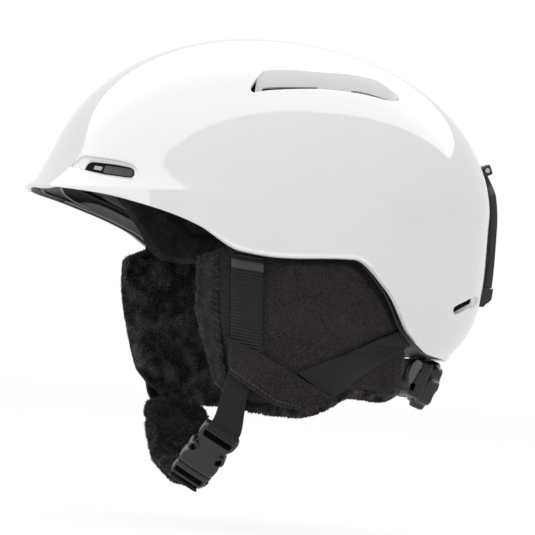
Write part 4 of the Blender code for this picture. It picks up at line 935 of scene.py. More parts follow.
def wallPoint(side, y, z, inset):
    s = padSet
    ahead = y - shellSet["centreY"]
    tau = tauAt(max(z, s["curlZ"]), skinInset(0))
    curl = lerp(1, math.sin(tau) ** (2 / shellSet["dropPower"]), ease((y - s["curlStart"]) / s["curlRun"]))
    curl = curl if tau > math.pi / 2 else 1
    length = ((shellSet["front"] if ahead < 0 else shellSet["rear"]) - inset) * curl
    halfWidth = (shellSet["halfWidth"] - inset) * curl
    power = shellSet["planPower"]
    x = halfWidth * max(1 - (abs(ahead) / length) ** power, 0.0) ** (1 / power)
    lean = max((s["leanStart"] - z) / s["leanRun"], 0.0)
    return Vector((side * (x - s["lean"] * lean * lean), y, z))


def wallPhi(y, inset=padSet["inset"]):
    spot = wallPoint(1, y, 0, inset)
    return math.degrees(math.atan2(spot.x, shellSet["centreY"] - spot.y))


rimTable = {}


def wallRim(y):
    key = round(y * 2000)
    if key not in rimTable:
        at = key / 2000
        deep = padSet["inset"] + padSet["coverWall"] + padSet["plushEdge"]
        rimTable[key] = min(rimZ(wallPhi(at)), rimZ(wallPhi(at, deep)))
    return rimTable[key]


def coverRim(y):
    return rimZ(wallPhi(y))


def padSpot(side, margins, u, v, rim=wallRim):
    s = padSet
    front = s["frontY"] + margins[0] + s["sweep"] * v**3
    homeY = lerp(front, s["rearY"] - margins[1], u)
    y = homeY - s["forward"][side]
    top = min(rim(y) + s["tuck"], s["topZ"] + s["topSlope"] * (homeY - s["frontY"]))
    return y, lerp(top, curveAt(s["bottom"], homeY) + margins[2], v)


def borderShare(u, v, width):
    return 1 - ease(min(u, 1 - u, v, 1 - v) / width)


# pile for plush pieces: short leaning tufts of three faces; nap gives each spot's share of the full length.
# The backing and foot values set the painted shade on the backing and at the tuft feet
pileSet = {"coarse": 120, "coarseSway": 1.2, "fine": 330, "fineSway": 0.8, "scatter": 0.3, "fall": -0.35,
           "shortest": 0.6, "spread": 0.7, "sink": 0.0003, "stand": 0.75, "lean": 0.7, "backing": 0.35,
           "foot": 0.2}


def growPile(piece, count, length, width, seed, nap):
    s = pileSet
    rng = np.random.default_rng(seed)
    mesh = piece.data
    mesh.calc_loop_triangles()
    spots = np.array([v.co for v in mesh.vertices])
    normals = np.array([v.normal for v in mesh.vertices])
    tris = np.array([t.vertices for t in mesh.loop_triangles])
    corners = spots[tris]
    area = np.linalg.norm(np.cross(corners[:, 1] - corners[:, 0], corners[:, 2] - corners[:, 0]), axis=1)
    share = np.array([nap(Vector(p)) for p in corners.mean(1)])
    area = area * (share > 0)
    pick = rng.choice(len(tris), count, p=area / area.sum())
    weights = rng.dirichlet((1, 1, 1), count)[:, :, None]
    roots = (corners[pick] * weights).sum(1)
    up = (normals[tris[pick]] * weights).sum(1)
    up /= np.linalg.norm(up, axis=1)[:, None]
    sway = np.array([noise.noise_vector(Vector(p) * s["coarse"]) * s["coarseSway"]
                     + noise.noise_vector(Vector(p) * s["fine"]) * s["fineSway"] for p in roots])
    sway += rng.normal(0, s["scatter"], (count, 3)) + np.array((0, 0, s["fall"]))
    sway -= up * (sway * up).sum(1)[:, None]
    long = (length * share[pick] * (s["shortest"] + s["spread"] * rng.random(count)))[:, None]
    side = np.cross(up, rng.normal(0, 1, (count, 3)))
    side /= np.linalg.norm(side, axis=1)[:, None]
    fore = np.cross(side, up)
    base = roots - up * s["sink"]
    layers = [base + (side * x + fore * y) * width for x, y in ((1, 0), (-0.5, 0.87), (-0.5, -0.87))]
    layers.append(roots + up * long * s["stand"] + sway * long * s["lean"])
    points = np.stack(layers, 1).reshape(-1, 3)
    starts = 4 * np.arange(count)[:, None]
    faces = np.concatenate([starts + np.array(face) for face in ((0, 1, 3), (1, 2, 3), (2, 0, 3))])
    pileMesh = bpy.data.meshes.new("pile")
    pileMesh.from_pydata(points.tolist(), [], faces.tolist())
    pile = bpy.data.objects.new("pile", pileMesh)
    bpy.context.scene.collection.objects.link(pile)
    # painted shade and highlight: the pile attribute is low on the backing and at the tuft feet and 1 at the
    # tips, and the plush colours by it
    low = mesh.attributes.new("pile", "FLOAT", "POINT")
    low.data.foreach_set("value", np.full(len(mesh.vertices), s["backing"], np.float32))
    high = pileMesh.attributes.new("pile", "FLOAT", "POINT")
    high.data.foreach_set("value", np.tile(np.array((s["foot"],) * 3 + (1.0,), np.float32), count))
    return joined(piece.name, [piece, pile])


# where the pile is left out or short, in the pad's own places
napSet = {"outside": 0.0026, "rimRoom": 0.0015, "bandFrom": 0.046, "bandRun": 0.008, "bandCut": 0.8,
          "passX": -0.0725, "passY": (-0.066, -0.028), "passZ": -0.083, "passShare": 0.3,
          "fringeShare": 0.45, "fringeRun": 0.009}


def buildEarPad(side):
    s = padSet
    name = sideNames[side]
    margins = s["coverMargins"]

    def coverOuter(u, v):
        y, z = padSpot(side, margins, u, v, coverRim)
        homeY = y + s["forward"][side]
        below = coverRim(y) - z
        strapZ = lerp(-0.067, -0.0368, (homeY + 0.015) / 0.0685)  # the rear strap's upper edge
        clear = ease((homeY + 0.036) / 0.010) * ease((z - strapZ - 0.003) / 0.008)
        pillow = s["pillow"] * ease((below - 0.0005) / 0.004) * ease((0.036 - below) / 0.03) * clear
        hem = s["hem"] * borderShare(u, v, 0.06) * (1 - clear)
        return wallPoint(side, y, z, s["inset"] + hem - pillow)

    def coverInner(u, v):
        return wallPoint(side, *padSpot(side, margins, u, v, coverRim), s["inset"] + s["coverWall"] - 0.0002)

    cover = thickSheet(f"ear_cover_{name}", 72, 54, coverOuter, coverInner)
    millimetreUv(cover, 122, 88)
    dress(cover, "helmet", "twill", twill, f"ear_pad_cover_{name}", angle=60)
    base = s["inset"] + s["coverWall"] + s["plushGap"]

    def plushOuter(u, v):
        tuck = s["edgeTuck"] * borderShare(u, v, s["plushBorder"])
        return wallPoint(side, *padSpot(side, (0, 0, 0), u, v), base + tuck)

    def plushInner(u, v):
        crown = (1 - (2 * u - 1) ** 4) * ease(v / 0.55) * ease((1 - v) / 0.35)
        depth = s["plushEdge"] + s["plushCrown"] * crown - s["edgeTuck"] * borderShare(u, v, s["plushBorder"])
        return wallPoint(side, *padSpot(side, (0, 0, 0), u, v), base + depth)

    pad = thickSheet(f"ear_plush_{name}", 56, 56, plushOuter, plushInner, innerSewn)
    pad = plumped(pad, 0.004)
    pad = lumped(pad, 0.0028, lambda out: ease(-out.x * side * 1.6 - 0.3))

    def nap(spot):
        n = napSet
        homeY = spot.y + s["forward"][side]
        coverY = s["frontY"] + margins[0] - s["forward"][side]
        bottom = curveAt(s["bottom"], homeY)
        outside = (spot.x - wallPoint(side, spot.y, spot.z, base + n["outside"]).x) * side > 0
        covered = spot.y < coverY or (spot.y > coverY and spot.z > bottom + margins[2])
        if wallRim(spot.y) - spot.z < n["rimRoom"] or (outside and covered):
            return 0.0
        # short pile where the rack band slides past, and where the right chin strap swings under the pad
        bandRoom = 1 - n["bandCut"] * ease((homeY - n["bandFrom"]) / n["bandRun"])
        low = side < 0 and spot.z < n["passZ"] and spot.x < n["passX"]
        passing = low and n["passY"][0] < spot.y < n["passY"][1]
        fringe = lerp(n["fringeShare"], 1, ease((spot.z - bottom) / n["fringeRun"]))
        return n["passShare"] if passing else bandRoom * fringe

    pad = growPile(pad, 40000, 0.0026, 0.0005, 7 + side, nap)
    dress(pad, "helmet", "plush", plush, f"ear_pad_plush_{name}", angle=80)

    def rollSpot(u, v):
        return padSpot(side, (0, 0, 0), lerp(s["rollFrom"], s["rollShare"], u), v)

    def rollOuter(u, v):
        bulge = max(math.sin(math.pi * lerp(0.04, 0.99, u)), 0) ** 0.6
        bulge *= ease(v / 0.06 + 0.15)
        bulge *= ease((1 - v) / 0.05 + 0.2)
        crease = math.sin(v * 120 + 7 * noise.noise(Vector((v * 11, side, 0))))
        pucker = crease * math.exp(-(((u - 0.84) / 0.16) ** 2))
        pucker += 0.7 * noise.noise(Vector((u * 3, v * 14, side)))
        return wallPoint(side, *rollSpot(u, v), base - s["roll"] * bulge - s["pucker"] * pucker)

    def rollInner(u, v):
        return wallPoint(side, *rollSpot(u, v), base + 0.0012)

    roll = thickSheet(f"ear_roll_{name}", 22, 110, rollOuter, rollInner)
    roll = growPile(roll, 16000, 0.0013, 0.0004, 31 + side,
                    lambda spot: 1.0 if wallRim(spot.y) - spot.z > 0.001 else 0.0)
    dress(roll, "helmet", "plush", suede, angle=80)


for hand in sideNames:
    buildEarPad(hand)
print("ear pads built")


# webbing on the pads and the twill sleeve over the yoke
strapSet = {
    "wall": 0.0016, "gap": 0.0014, "width": 0.019,
    "front": ((-0.0610, 0.0085), (-0.0420, 0.0070), (-0.0555, -0.0620), (-0.0370, -0.0640)),
    "rear": ((-0.0150, -0.0670), (0.0535, -0.0368), (0.0050, -0.0800), (0.0612, -0.0466)),
    "sleeveTop": ((-0.0585, -0.0493), (-0.038, -0.058), (-0.019, -0.067), (0.008, -0.081)),
    "sleeveBottom": ((-0.0560, -0.0697), (-0.048, -0.0750), (-0.0275, -0.0868), (-0.010, -0.0885)),
    "sleeveWall": 0.0016, "sleeveGap": 0.0005, "stitch": 0.0034,
    "fold": {"from": 0.15, "to": 0.235, "stand": 0.0011},
    "selvedge": 0.0003, "creaseAt": 0.13, "creaseRun": 0.045, "crease": 0.0007, "hem": 0.0005,
}


def laidStrap(side, points, anchored, inset):
    shift = padSet["forward"][side]
    spots = []
    for k, (y, z) in enumerate(points):
        lift = wallRim(y - shift) - wallRim(y) if k in anchored else 0
        spots.append(Vector((y - shift, z + lift, 0)))

    def place(u, v):
        spot = spots[0].lerp(spots[1], u).lerp(spots[2].lerp(spots[3], u), v)
        return wallPoint(side, spot.x, spot.y, inset(u, v))

    return place


def buildPadStraps(side):
    s = strapSet
    name = sideNames[side]
    inset = padSet["inset"] - s["gap"] - s["wall"]

    def frontOut(u, v):
        crease = math.exp(-((v - s["creaseAt"]) / s["creaseRun"]) ** 2)
        return inset + s["selvedge"] * (2 * u - 1) ** 8 - s["crease"] * crease

    def rearOut(u, v):
        return inset + s["selvedge"] * (2 * v - 1) ** 8

    def back(u, v):
        return inset + s["wall"]

    front = thickSheet(f"front_webbing_{name}", 16, 90, laidStrap(side, s["front"], (0, 1), frontOut),
                       laidStrap(side, s["front"], (0, 1), back))
    millimetreUv(front, 19, 71)
    dress(front, "helmet", "webbing", webbing, f"front_strap_{name}", angle=60)
    rear = thickSheet(f"rear_webbing_{name}", 90, 16, laidStrap(side, s["rear"], (1, 3), rearOut),
                      laidStrap(side, s["rear"], (1, 3), back))
    for loop in rear.data.uv_layers.active.data:
        loop.uv = (loop.uv.y * 17, loop.uv.x * 75)
    dress(rear, "helmet", "webbing", webbing, f"rear_strap_{name}", angle=60)

    # raised strip over the front strap's fold: a small real swell, coloured pale as a painted highlight
    f = s["fold"]
    strapFace = laidStrap(side, s["front"], (0, 1), lambda u, v: inset - 0.0002)

    def foldFace(u, v, stand):
        swell = math.sqrt(max(1 - (2 * v - 1) ** 2, 0)) * (1 - 0.4 * (2 * u - 1) ** 8)
        out = 0.0001 + f["stand"] * swell * stand
        return strapFace(u, lerp(f["from"], f["to"], v)) + Vector((side * out, 0, 0))

    fold = layer(f"front_fold_{name}", 16, 14, foldFace, 1, 0)
    dress(fold, "helmet", "webbing", foldHighlightTape, angle=60)

    shift = padSet["forward"][side]
    over = inset - s["sleeveGap"] - s["sleeveWall"]

    def sleeve(u, v, depth):
        spot = alongLine(s["sleeveTop"], u).lerp(alongLine(s["sleeveBottom"], u), v)
        return wallPoint(side, spot.x - shift, spot.y, depth)

    band = thickSheet(f"yoke_sleeve_{name}", 60, 16,
                      lambda u, v: sleeve(u, v, over + s["hem"] * borderShare(u, v, 0.08)),
                      lambda u, v: sleeve(u, v, over + s["sleeveWall"]))
    millimetreUv(band, 80, 21)
    hems = [addTube("hem", 60, 8, lambda t: sleeve(lerp(0.01, 0.99, t), v, over + 0.0006), 0.0008)
            for v in (0.03, 0.97)]
    band = joined(f"yoke_sleeve_{name}", [band] + hems)
    dress(band, "helmet", "twill", twill, f"ear_pad_sleeve_{name}", angle=60)
    stitches = []
    count = round(0.075 / s["stitch"])
    for k in range(count):
        start = lerp(0.04, 0.96, k / count)
        end = start + 0.6 * 0.92 / count

        def stitch(t):
            return sleeve(lerp(start, end, t), 0.87, over - 0.0001 + 0.0004 * (2 * t - 1) ** 2)

        stitches.append(addTube("stitch", 4, 6, stitch, 0.00032))
    thread = joined(f"yoke_stitching_{name}", stitches)
    dress(thread, "helmet", "webbing", bondedThread)


for hand in sideNames:
    buildPadStraps(hand)
print("pad straps built")


# side-release buckle in its own frame: x across, y the pull and z outwards
buckleSet = {
    "mouth": Vector((0.0580, -0.0640, -0.1275)), "pull": Vector((-0.66, -0.306, -0.684)).normalized(),
    "face": Vector((0.742, -0.387, -0.544)), "length": 0.034, "thickness": 0.0086,
    # half width against the distance from the mouth, in millimetres
    "outline": ((0.0, 9.9), (1.2, 11.1), (4.0, 12.1), (8.0, 12.2), (11.0, 11.0), (14.0, 8.7), (17.0, 7.9),
                (20.0, 8.6), (23.5, 10.9), (26.5, 12.0), (31.0, 12.2), (33.0, 11.6), (34.0, 10.6)),
    "boss": {"x": 0.0089, "y": -0.0150, "radius": 0.0035, "stretch": 1.1, "holeX": 0.0017, "holeY": 0.0025,
             "rim": 0.0007, "rimRadius": 0.00055, "height": 0.93},
    "slot": {"halfWidth": 0.0098, "from": -0.0306, "to": -0.0256}, "bar": 0.0016,
}


def buckleMatrix():
    s = buckleSet
    outward = (s["face"] - s["pull"] * s["face"].dot(s["pull"])).normalized()
    sideways = s["pull"].cross(outward)
    turn = Matrix((sideways, s["pull"], outward)).transposed().to_4x4()
    return Matrix.Translation(s["mouth"]) @ turn


buckle = buckleMatrix()


def roundedBody(name, stations, half, thick, power=5.0, sides=56):  # a pillow-edged body along -y
    count = len(stations)

    def place(u, v):
        y = stations[round(v * (count - 1))]
        turn = 2 * math.pi * u
        c, s = math.cos(turn), math.sin(turn)
        x = math.copysign(abs(c) ** (2 / power), c) * half(y)
        z = math.copysign(abs(s) ** (2 / power), s) * thick(y)
        return Vector((x, y, z))

    piece = addSheet(name, sides, count - 1, place)
    fillEnds(piece)
    return closed(piece)


def addRounded(name, low, high, bevel):
    bpy.ops.object.select_all(action="DESELECT")
    middle = (Vector(low) + Vector(high)) / 2
    size = Vector(high) - Vector(low)
    bpy.ops.mesh.primitive_cube_add(size=1, location=middle, scale=size)
    piece = bpy.context.object
    piece.name = name
    bpy.ops.object.transform_apply(location=True, rotation=False, scale=True)
    bpy.ops.object.mode_set(mode="EDIT")
    bpy.ops.mesh.select_all(action="SELECT")
    bpy.ops.mesh.bevel(offset=bevel, segments=3, affect="EDGES")
    bpy.ops.object.mode_set(mode="OBJECT")
    return piece


def addDrum(name, x, y, radiusX, radiusY, low, high, sides=40):
    turns = [2 * math.pi * k / sides for k in range(sides)]
    rings = [[Vector((x + math.cos(turn) * radiusX, y + math.sin(turn) * radiusY, z)) for turn in turns]
             for z in (low, lerp(low, high, 0.5), high)]
    return ringLoft(name, rings, True)


def buildSocket():
    s = buckleSet
    halfT = s["thickness"] / 2

    def half(y):
        return curveAt(s["outline"], -y * 1000) / 1000

    def thick(y):
        d = -y * 1000
        ends = min(ease((d + 0.6) / 2.2), ease((34.6 - d) / 2.4))
        body = lerp(0.80, 1.0, ease((22 - d) / 6) * ease((d + 1) / 4))
        return halfT * body * lerp(0.72, 1, ends)

    stations = [-s["length"] * k / 60 for k in range(61)]
    body = roundedBody("socket_body", stations, half, thick)
    slot = s["slot"]
    mouth = addRounded("mouthCavity", (-0.0090, -0.0222, -0.0023), (0.0090, 0.003, 0.0023), 0.0008)
    strapHole = addRounded("strapSlot", (-slot["halfWidth"], slot["from"], -0.01),
                           (slot["halfWidth"], slot["to"], 0.01), 0.0012)
    cutAway(body, mouth)
    cutAway(body, strapHole)
    b = s["boss"]
    top = halfT * b["height"]
    for sign in (1, -1):
        drum = addDrum("boss", sign * b["x"], b["y"], b["radius"], b["radius"] * b["stretch"], -top, top)
        bevelled(drum, 0.0008, 3)
        applied(body, "BOOLEAN", operation="UNION", object=drum, solver="EXACT")
        bpy.data.objects.remove(drum)
    for sign in (1, -1):
        cutAway(body, addDrum("window", sign * b["x"], b["y"], b["holeX"], b["holeY"], -0.01, 0.01))
    rims = []
    for sign in (1, -1):
        for z in (top, -top):
            def ring(t):
                turn = 2 * math.pi * t
                return Vector((sign * b["x"] + math.cos(turn) * (b["holeX"] + b["rim"]),
                               b["y"] + math.sin(turn) * (b["holeY"] + b["rim"]), z))

            rims.append(addTube("windowRim", 40, 8, ring, b["rimRadius"], True))
    bevelled(body, 0.0004, sharp=55)
    socket = joined("release_socket", [body] + rims)
    socket.data.transform(buckle)
    dress(socket, "chin_loop", "charcoal_plastic", charcoalAcetal, "buckle_socket", angle=35)


def buildTongue():
    def plateHalf(y):
        return 0.0112 - 0.0016 * ease((y - 0.0065) / 0.004) ** 2

    def plateThick(y):
        return 0.0035 * lerp(0.75, 1, ease((y - 0.0002) / 0.0012) * ease((0.0107 - y) / 0.0016))

    steps = [0.0004 + 0.0101 * k / 24 for k in range(25)]
    plate = roundedBody("tongue_plate", steps, plateHalf, plateThick)
    cutAway(plate, addRounded("tongueSlot", (-0.00985, 0.0036, -0.01), (0.00985, 0.0075, 0.01), 0.0010))
    bevelled(plate, 0.0003, sharp=55)
    plate.data.transform(buckle)
    dress(plate, "buckle_half", "charcoal_plastic", charcoalAcetal, "buckle_tongue", angle=35)


buildSocket()
buildTongue()
print("buckle built")


# chin webbing
chinSet = {
    "exit": ((-0.055, -0.0665), (-0.042, -0.0775)), "leftDown": Vector((0, -0.012, -0.030)),
    "leftPull": 0.022, "leftShare": 0.72,
    "rightDown": Vector((0, 0, -0.092)), "rightIn": Vector((0.045, 0, 0.010)),
    "front": ((0.0400, -0.0735, -0.1300), (-0.0080, -0.0755, -0.1195), (-0.0480, -0.0705, -0.0920)),
    "rear": ((0.0420, -0.0545, -0.1375), (0.0000, -0.0390, -0.1240), (-0.0480, -0.0340, -0.0960)),
    "thickness": 0.011,
}


def chinExit(side, u):
    spot = alongLine(chinSet["exit"], u)
    inset = padSet["inset"] - strapSet["gap"] - strapSet["wall"]
    return wallPoint(side, spot.x - padSet["forward"][side], spot.y, inset)


def through(points, v):
    first, middle, last = [Vector(p) for p in points]
    return first * (2 * v - 1) * (v - 1) + middle * 4 * v * (1 - v) + last * v * (2 * v - 1)


def chinAt(across, v):
    return through(chinSet["front"], v).lerp(through(chinSet["rear"], v), across)


def chinRun(v):
    return (chinAt(0.5, v + 0.01) - chinAt(0.5, v - 0.01)).normalized()


def chinAcross(v):
    return (chinAt(1, v) - chinAt(0, v)).normalized()


def buildChinStraps():
    wall = strapSet["wall"]
    half = strapSet["width"] / 2
    barY = -0.0323
    wrap = buckleSet["bar"] + 0.0004 + wall
    hangs = chinSet["leftShare"]

    def left(u, v):  # down from the pad, then round the socket's bar
        x = lerp(half, -half, u)
        start = Vector((x, -0.0365, wrap * 0.55))
        if v < hangs:
            pull = buckleSet["pull"] * chinSet["leftPull"]
            return hermite(chinExit(1, u), chinSet["leftDown"], buckle @ start, pull, v / hangs)
        past = (v - hangs) / (1 - hangs)
        turn = math.radians(lerp(150, -60, past))
        ring = Vector((x, barY + wrap * 1.15 * math.cos(turn), wrap * math.sin(turn)))
        return buckle @ start.lerp(ring, ease(past * 3.2))

    strap = ribbon("chin_webbing_left", 14, 84, left, wall)
    millimetreUv(strap, 19, 52)
    dress(strap, None, "webbing", webbing, "chin_strap_left", angle=60)
    chinExit(1, 0.5)
    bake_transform(strap)

    def right(u, v):
        end = chinAt(0.5, 1) + chinRun(1) * wall + chinAcross(1) * lerp(-half, half, u)
        return hermite(chinExit(-1, u), chinSet["rightDown"], end, chinSet["rightIn"], v)

    middle = 0.5
    upper = ribbon("chin_webbing_right_upper", 14, 50, lambda u, v: right(u, v * middle), -wall)
    millimetreUv(upper, 19, 36)
    dress(upper, None, "webbing", webbing, "chin_strap_right", angle=60)
    chinExit(-1, 0.5)
    right(0.5, middle * 0.98)
    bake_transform(upper)
    lower = ribbon("chin_webbing_right_lower", 14, 50,
                   lambda u, v: right(u, lerp(middle - 0.02, 1, v)), -wall * 0.9)
    millimetreUv(lower, 19, 36)
    dress(lower, None, "webbing", webbing, "chin_strap_right", angle=60)
    right(0.5, middle + 0.05)
    right(0.5, 0.97)
    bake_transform(lower)

    barMiddle = 0.0090
    loop = 0.0035 + 0.0003 + wall
    tailEnd = buckle.inverted() @ (chinAt(0.5, 0) - chinRun(0) * wall)

    def tongue(u, v):
        turn = math.radians(lerp(60, -90, min(v / 0.6, 1)))
        around = Vector((0, barMiddle + loop * math.cos(turn), loop * math.sin(turn)))
        centre = around.lerp(tailEnd, ease((v - 0.6) / 0.4))
        return buckle @ (centre + Vector((lerp(half, -half, u), 0, 0)))

    fold = ribbon("tongue_webbing", 14, 70, tongue, wall)
    millimetreUv(fold, 19, 40)
    dress(fold, "buckle_half", "webbing", webbing, "tongue_strap", angle=60)


def buildChinPad():
    def place(u, v, sign):
        across = 2 * u - 1
        ends = 1 - (2 * v - 1) ** 12
        half = lerp(0.94, 1, ends) / 2
        swell = max(1 - across**6, 0) * lerp(0.3, 1, ends)
        rise = chinSet["thickness"] / 2 * lerp(0.16, 1, swell)
        out = chinRun(v).cross(chinAcross(v)).normalized() * sign
        return chinAt(0.5 + across * half, v) + out * rise

    def sewn(u, v, inside):
        return v < 0.05 or v > 0.95 or u < 0.03 or u > 0.97

    pad = layer("chin_plush", 36, 52, place, 1, -1, sewn)
    pad = lumped(plumped(pad, 0.003), 0.0024, lambda out: 1.0)
    pad = growPile(pad, 40000, 0.0026, 0.0005, 21, lambda spot: 1.0)
    dress(pad, "buckle_half", "plush", shadedChinPlush, "chin_pad", angle=80)


buildChinStraps()
buildChinPad()
print("chin strap and pad built")


# forehead lining, crown pad
browSet = {
    "span": 100, "topZ": 0.050, "wall": 0.0062, "gap": 0.0010, "share": 0.6, "seams": (0.2, 0.38, 0.62, 0.8),
    "ledgeWall": 0.0040, "ledgeFull": 46, "ledgeEnd": 60, "ledgeInset": 0.0211,
    "low": ((0, 0.0370), (45, 0.0270), (60, 0.0110), (75, 0.0020), (100, 0.0020)),
    "flapFrom": 12, "flapRise": 0.012, "flapTrim": 0.001,
    # depth at the top, further depth below and the turn of the hem, on each face of the flap
    "flapOuter": (0.0008, 0.0040, 0.0020), "flapInner": (0.0020, 0.0074, -0.0024),
    "flapLow": ((12, 0.0350), (22, 0.0275), (30, 0.0210), (34, 0.0180), (38, 0.0140), (42, 0.0078),
                (46, 0.0026), (50, -0.0010), (54, -0.0030), (66, -0.0040), (76, -0.0022), (100, 0.0010)),
}


def buildBrow():
    s = browSet

    def place(u, v, depth, drop):
        phi = lerp(-s["span"], s["span"], u)
        inset = foamInset(s["gap"] + depth)
        edge = rimZ(phi) + foamSet["lift"] - s["gap"] - drop
        if v < s["share"]:
            return ringPoint(phi, lerp(s["topZ"], edge, v / s["share"]), inset)
        past = (v - s["share"]) / (1 - s["share"])
        hanging = ringPoint(phi, lerp(edge, curveAt(s["low"], abs(phi)), past), inset)
        turned = ringPoint(phi, edge, inset).lerp(ringPoint(phi, edge, skinInset(s["ledgeInset"])), past)
        return turned.lerp(hanging, ease((abs(phi) - s["ledgeFull"]) / (s["ledgeEnd"] - s["ledgeFull"])))

    def inner(u, v):
        crown = (1 - (2 * u - 1) ** 8) * (1 - (2 * v - 1) ** 6)
        seams = 1 - 0.45 * sum(math.exp(-(((u - at) / 0.008) ** 2)) for at in s["seams"])
        swell = lerp(0.42, 0.85, crown) * seams
        return place(u, v, s["wall"] * swell, s["ledgeWall"] * swell)

    def sewn(u, v, inside):
        return not inside or min(abs(u - at) for at in s["seams"]) < 0.004

    pad = plumped(thickSheet("brow_lining", 150, 22, lambda u, v: place(u, v, 0, 0), inner, sewn), 0.0022)

    # soft flap at each temple; the right one hangs over its plush, as its pad is worn further forward
    def flap(side, u, v, face):
        root, hung, turn = face
        phi = side * lerp(s["flapFrom"], s["span"], u)
        top = rimZ(phi) + foamSet["lift"] + s["flapRise"]
        grow = ease(v / 0.4) * ease(u / 0.14)
        depth = root + hung * grow + turn * (1 - ease((1 - v) / 0.10))
        low = curveAt(s["flapLow"], abs(phi))
        low = max(low, rimZ(phi) + s["flapTrim"]) if side > 0 else low
        return ringPoint(phi, lerp(top, low, v), foamInset(s["gap"] + depth))

    flaps = [layer("flap", 90, 30, lambda u, v, face: flap(side, u, v, face), s["flapOuter"], s["flapInner"])
             for side in sideNames]
    pad = joined("brow_lining", [pad] + flaps)
    dress(pad, "helmet", "brushed_lining", tricot, "brow_pad", angle=70)


crownSet = {"gap": 0.0013, "wall": 0.005, "reach": 34, "seams": 6}


def buildCrown():
    s = crownSet

    def place(u, v, depth):
        quilt = 0.75 + 0.25 * abs(math.sin(s["seams"] * math.pi * u)) ** 0.5
        swell = lerp(0.42, 1, 1 - v**4) * lerp(1, quilt, ease(v * 3))
        inset = foamInset(s["gap"] + depth * swell)
        return formPoint(360 * u, max(v, 0.001) * math.radians(s["reach"]), inset)

    def sewn(u, v, inside):
        return not inside or abs(u * s["seams"] - round(u * s["seams"])) < 0.04

    pad = plumped(layer("crown_lining", 72, 16, place, 0, s["wall"], sewn), 0.0022)
    dress(pad, "helmet", "brushed_lining", tricot, "crown_pad", angle=70)


buildBrow()
buildCrown()
print("lining built")


# nape fit system in the tilted frame at the dial
fitSet = {"tilt": -19, "below": 0.0152, "ahead": 0.0122, "radius": 0.0150, "lobe": 0.0011, "lobes": 8,
          "bandRadius": 0.070, "setback": 0.0060, "bandWall": 0.0020, "innerZ": 0.0046, "outerZ": 0.0082,
          "tail": -8, "wideFrom": 25, "end": 42, "padFrom": 24, "padTo": 40.5, "padWall": 0.005,
          "padHalf": 0.0095}


def fitMatrix():
    rear = ringPoint(180, rimZ(180), skinInset(0))
    centre = rear + Vector((0, -fitSet["ahead"], -fitSet["below"]))
    return Matrix.Translation(centre) @ Matrix.Rotation(math.radians(fitSet["tilt"]), 4, "X")


fit = fitMatrix()


def buildDial():
    s = fitSet
    # radius, depth and how much of the lobes each ring of the knob carries
    profile = ((0.05, 0.0, 0), (0.6, 0.0, 0), (0.93, 0.0, 1), (0.98, 0.0004, 1), (1.0, 0.0012, 1),
               (1.0, 0.0045, 1), (1.0, 0.0070, 1), (0.985, 0.0080, 1), (0.95, 0.0086, 1),
               (0.90, 0.0088, 1), (0.80, 0.0088, 0.8), (0.74, 0.0086, 0.6), (0.70, 0.0078, 0.5),
               (0.67, 0.0072, 0.4), (0.45, 0.0070, 0), (0.40, 0.0074, 0), (0.36, 0.0080, 0),
               (0.30, 0.0082, 0), (0.05, 0.0083, 0))
    sides = s["lobes"] * 16
    rings = []
    for share, depth, lobes in profile:
        ring = []
        for k in range(sides):
            turn = 2 * math.pi * k / sides
            wave = math.cos(s["lobes"] * turn)
            grip = math.copysign(abs(wave) ** 0.6, wave)
            r = (s["radius"] + s["lobe"] * grip * lobes) * share
            ring.append(fit @ Vector((r * math.cos(turn), depth, r * math.sin(turn))))
        rings.append(ring)
    knob = ringLoft("fit_knob", rings, True)
    dress(knob, "fit_dial", "charcoal_plastic", charcoalAcetal, "fit_dial", angle=35)


def bandSpot(angle, height, radius):
    turn = math.radians(angle)
    return fit @ (Vector((radius * math.sin(turn), radius * math.cos(turn), height))
                  + Vector((0, -fitSet["setback"] - fitSet["bandRadius"], 0)))


def buildBand(side):
    s = fitSet
    name = sideNames[side]

    def heights(angle):
        wide = ease((angle - s["wideFrom"]) / 8)
        inner = lerp(s["innerZ"], -s["outerZ"] * 0.85, wide)
        return (inner, s["outerZ"]) if side > 0 else (-s["outerZ"], -inner)

    def strip(u, v, radius):
        angle = lerp(s["tail"], s["end"], u)
        low, high = heights(angle)
        middle, half = (low + high) / 2, (high - low) / 2
        tip = math.sqrt(max(1 - max((angle - s["end"] + 7) / 7.2, 0) ** 2, 0.01))
        return bandSpot(side * angle, middle + half * tip * (2 * v - 1), radius)

    half = s["bandWall"] / 2
    band = layer(f"rack_band_{name}", 80, 10, strip, s["bandRadius"] + half, s["bandRadius"] - half)
    bevelled(band, 0.0005)
    dress(band, f"fit_band_{name}", "black_plastic", blackNylon, f"fit_band_{name}")

    def pad(u, v, depth):
        a, b = 2 * u - 1, 2 * v - 1
        swell = (1 - a**4) * (1 - b**4)
        square = math.sqrt(max(1 - 0.32 * b * b, 0))
        tall = math.sqrt(max(1 - 0.32 * a * a, 0))
        angle = lerp(s["padFrom"], s["padTo"], 0.5 + 0.5 * a * square)
        grow = depth * lerp(0.42, 1, swell)
        return bandSpot(side * angle, s["padHalf"] * b * tall, s["bandRadius"] - half - 0.0003 - grow)

    cushion = layer(f"nape_cushion_{name}", 30, 22, pad, 0, s["padWall"] * 0.8, innerSewn)
    cushion = plumped(cushion, 0.0012)
    dress(cushion, f"fit_band_{name}", "brushed_lining", tricot, f"nape_pad_{name}", angle=60)


buildDial()
for hand in sideNames:
    buildBand(hand)
print("fit system built")


# goggle lock down the rear centre line
lockSet = {"topZ": 0.066, "clipZ": -0.0050, "bottomZ": -0.0170, "width": 0.022, "gap": 0.0034, "wall": 0.0046,
           "stand": 0.0054, "knuckle": 0.0034, "knuckleWidth": 0.0120, "pin": 0.0015, "pinRoom": 0.0001,
           "studZ": -0.0110}


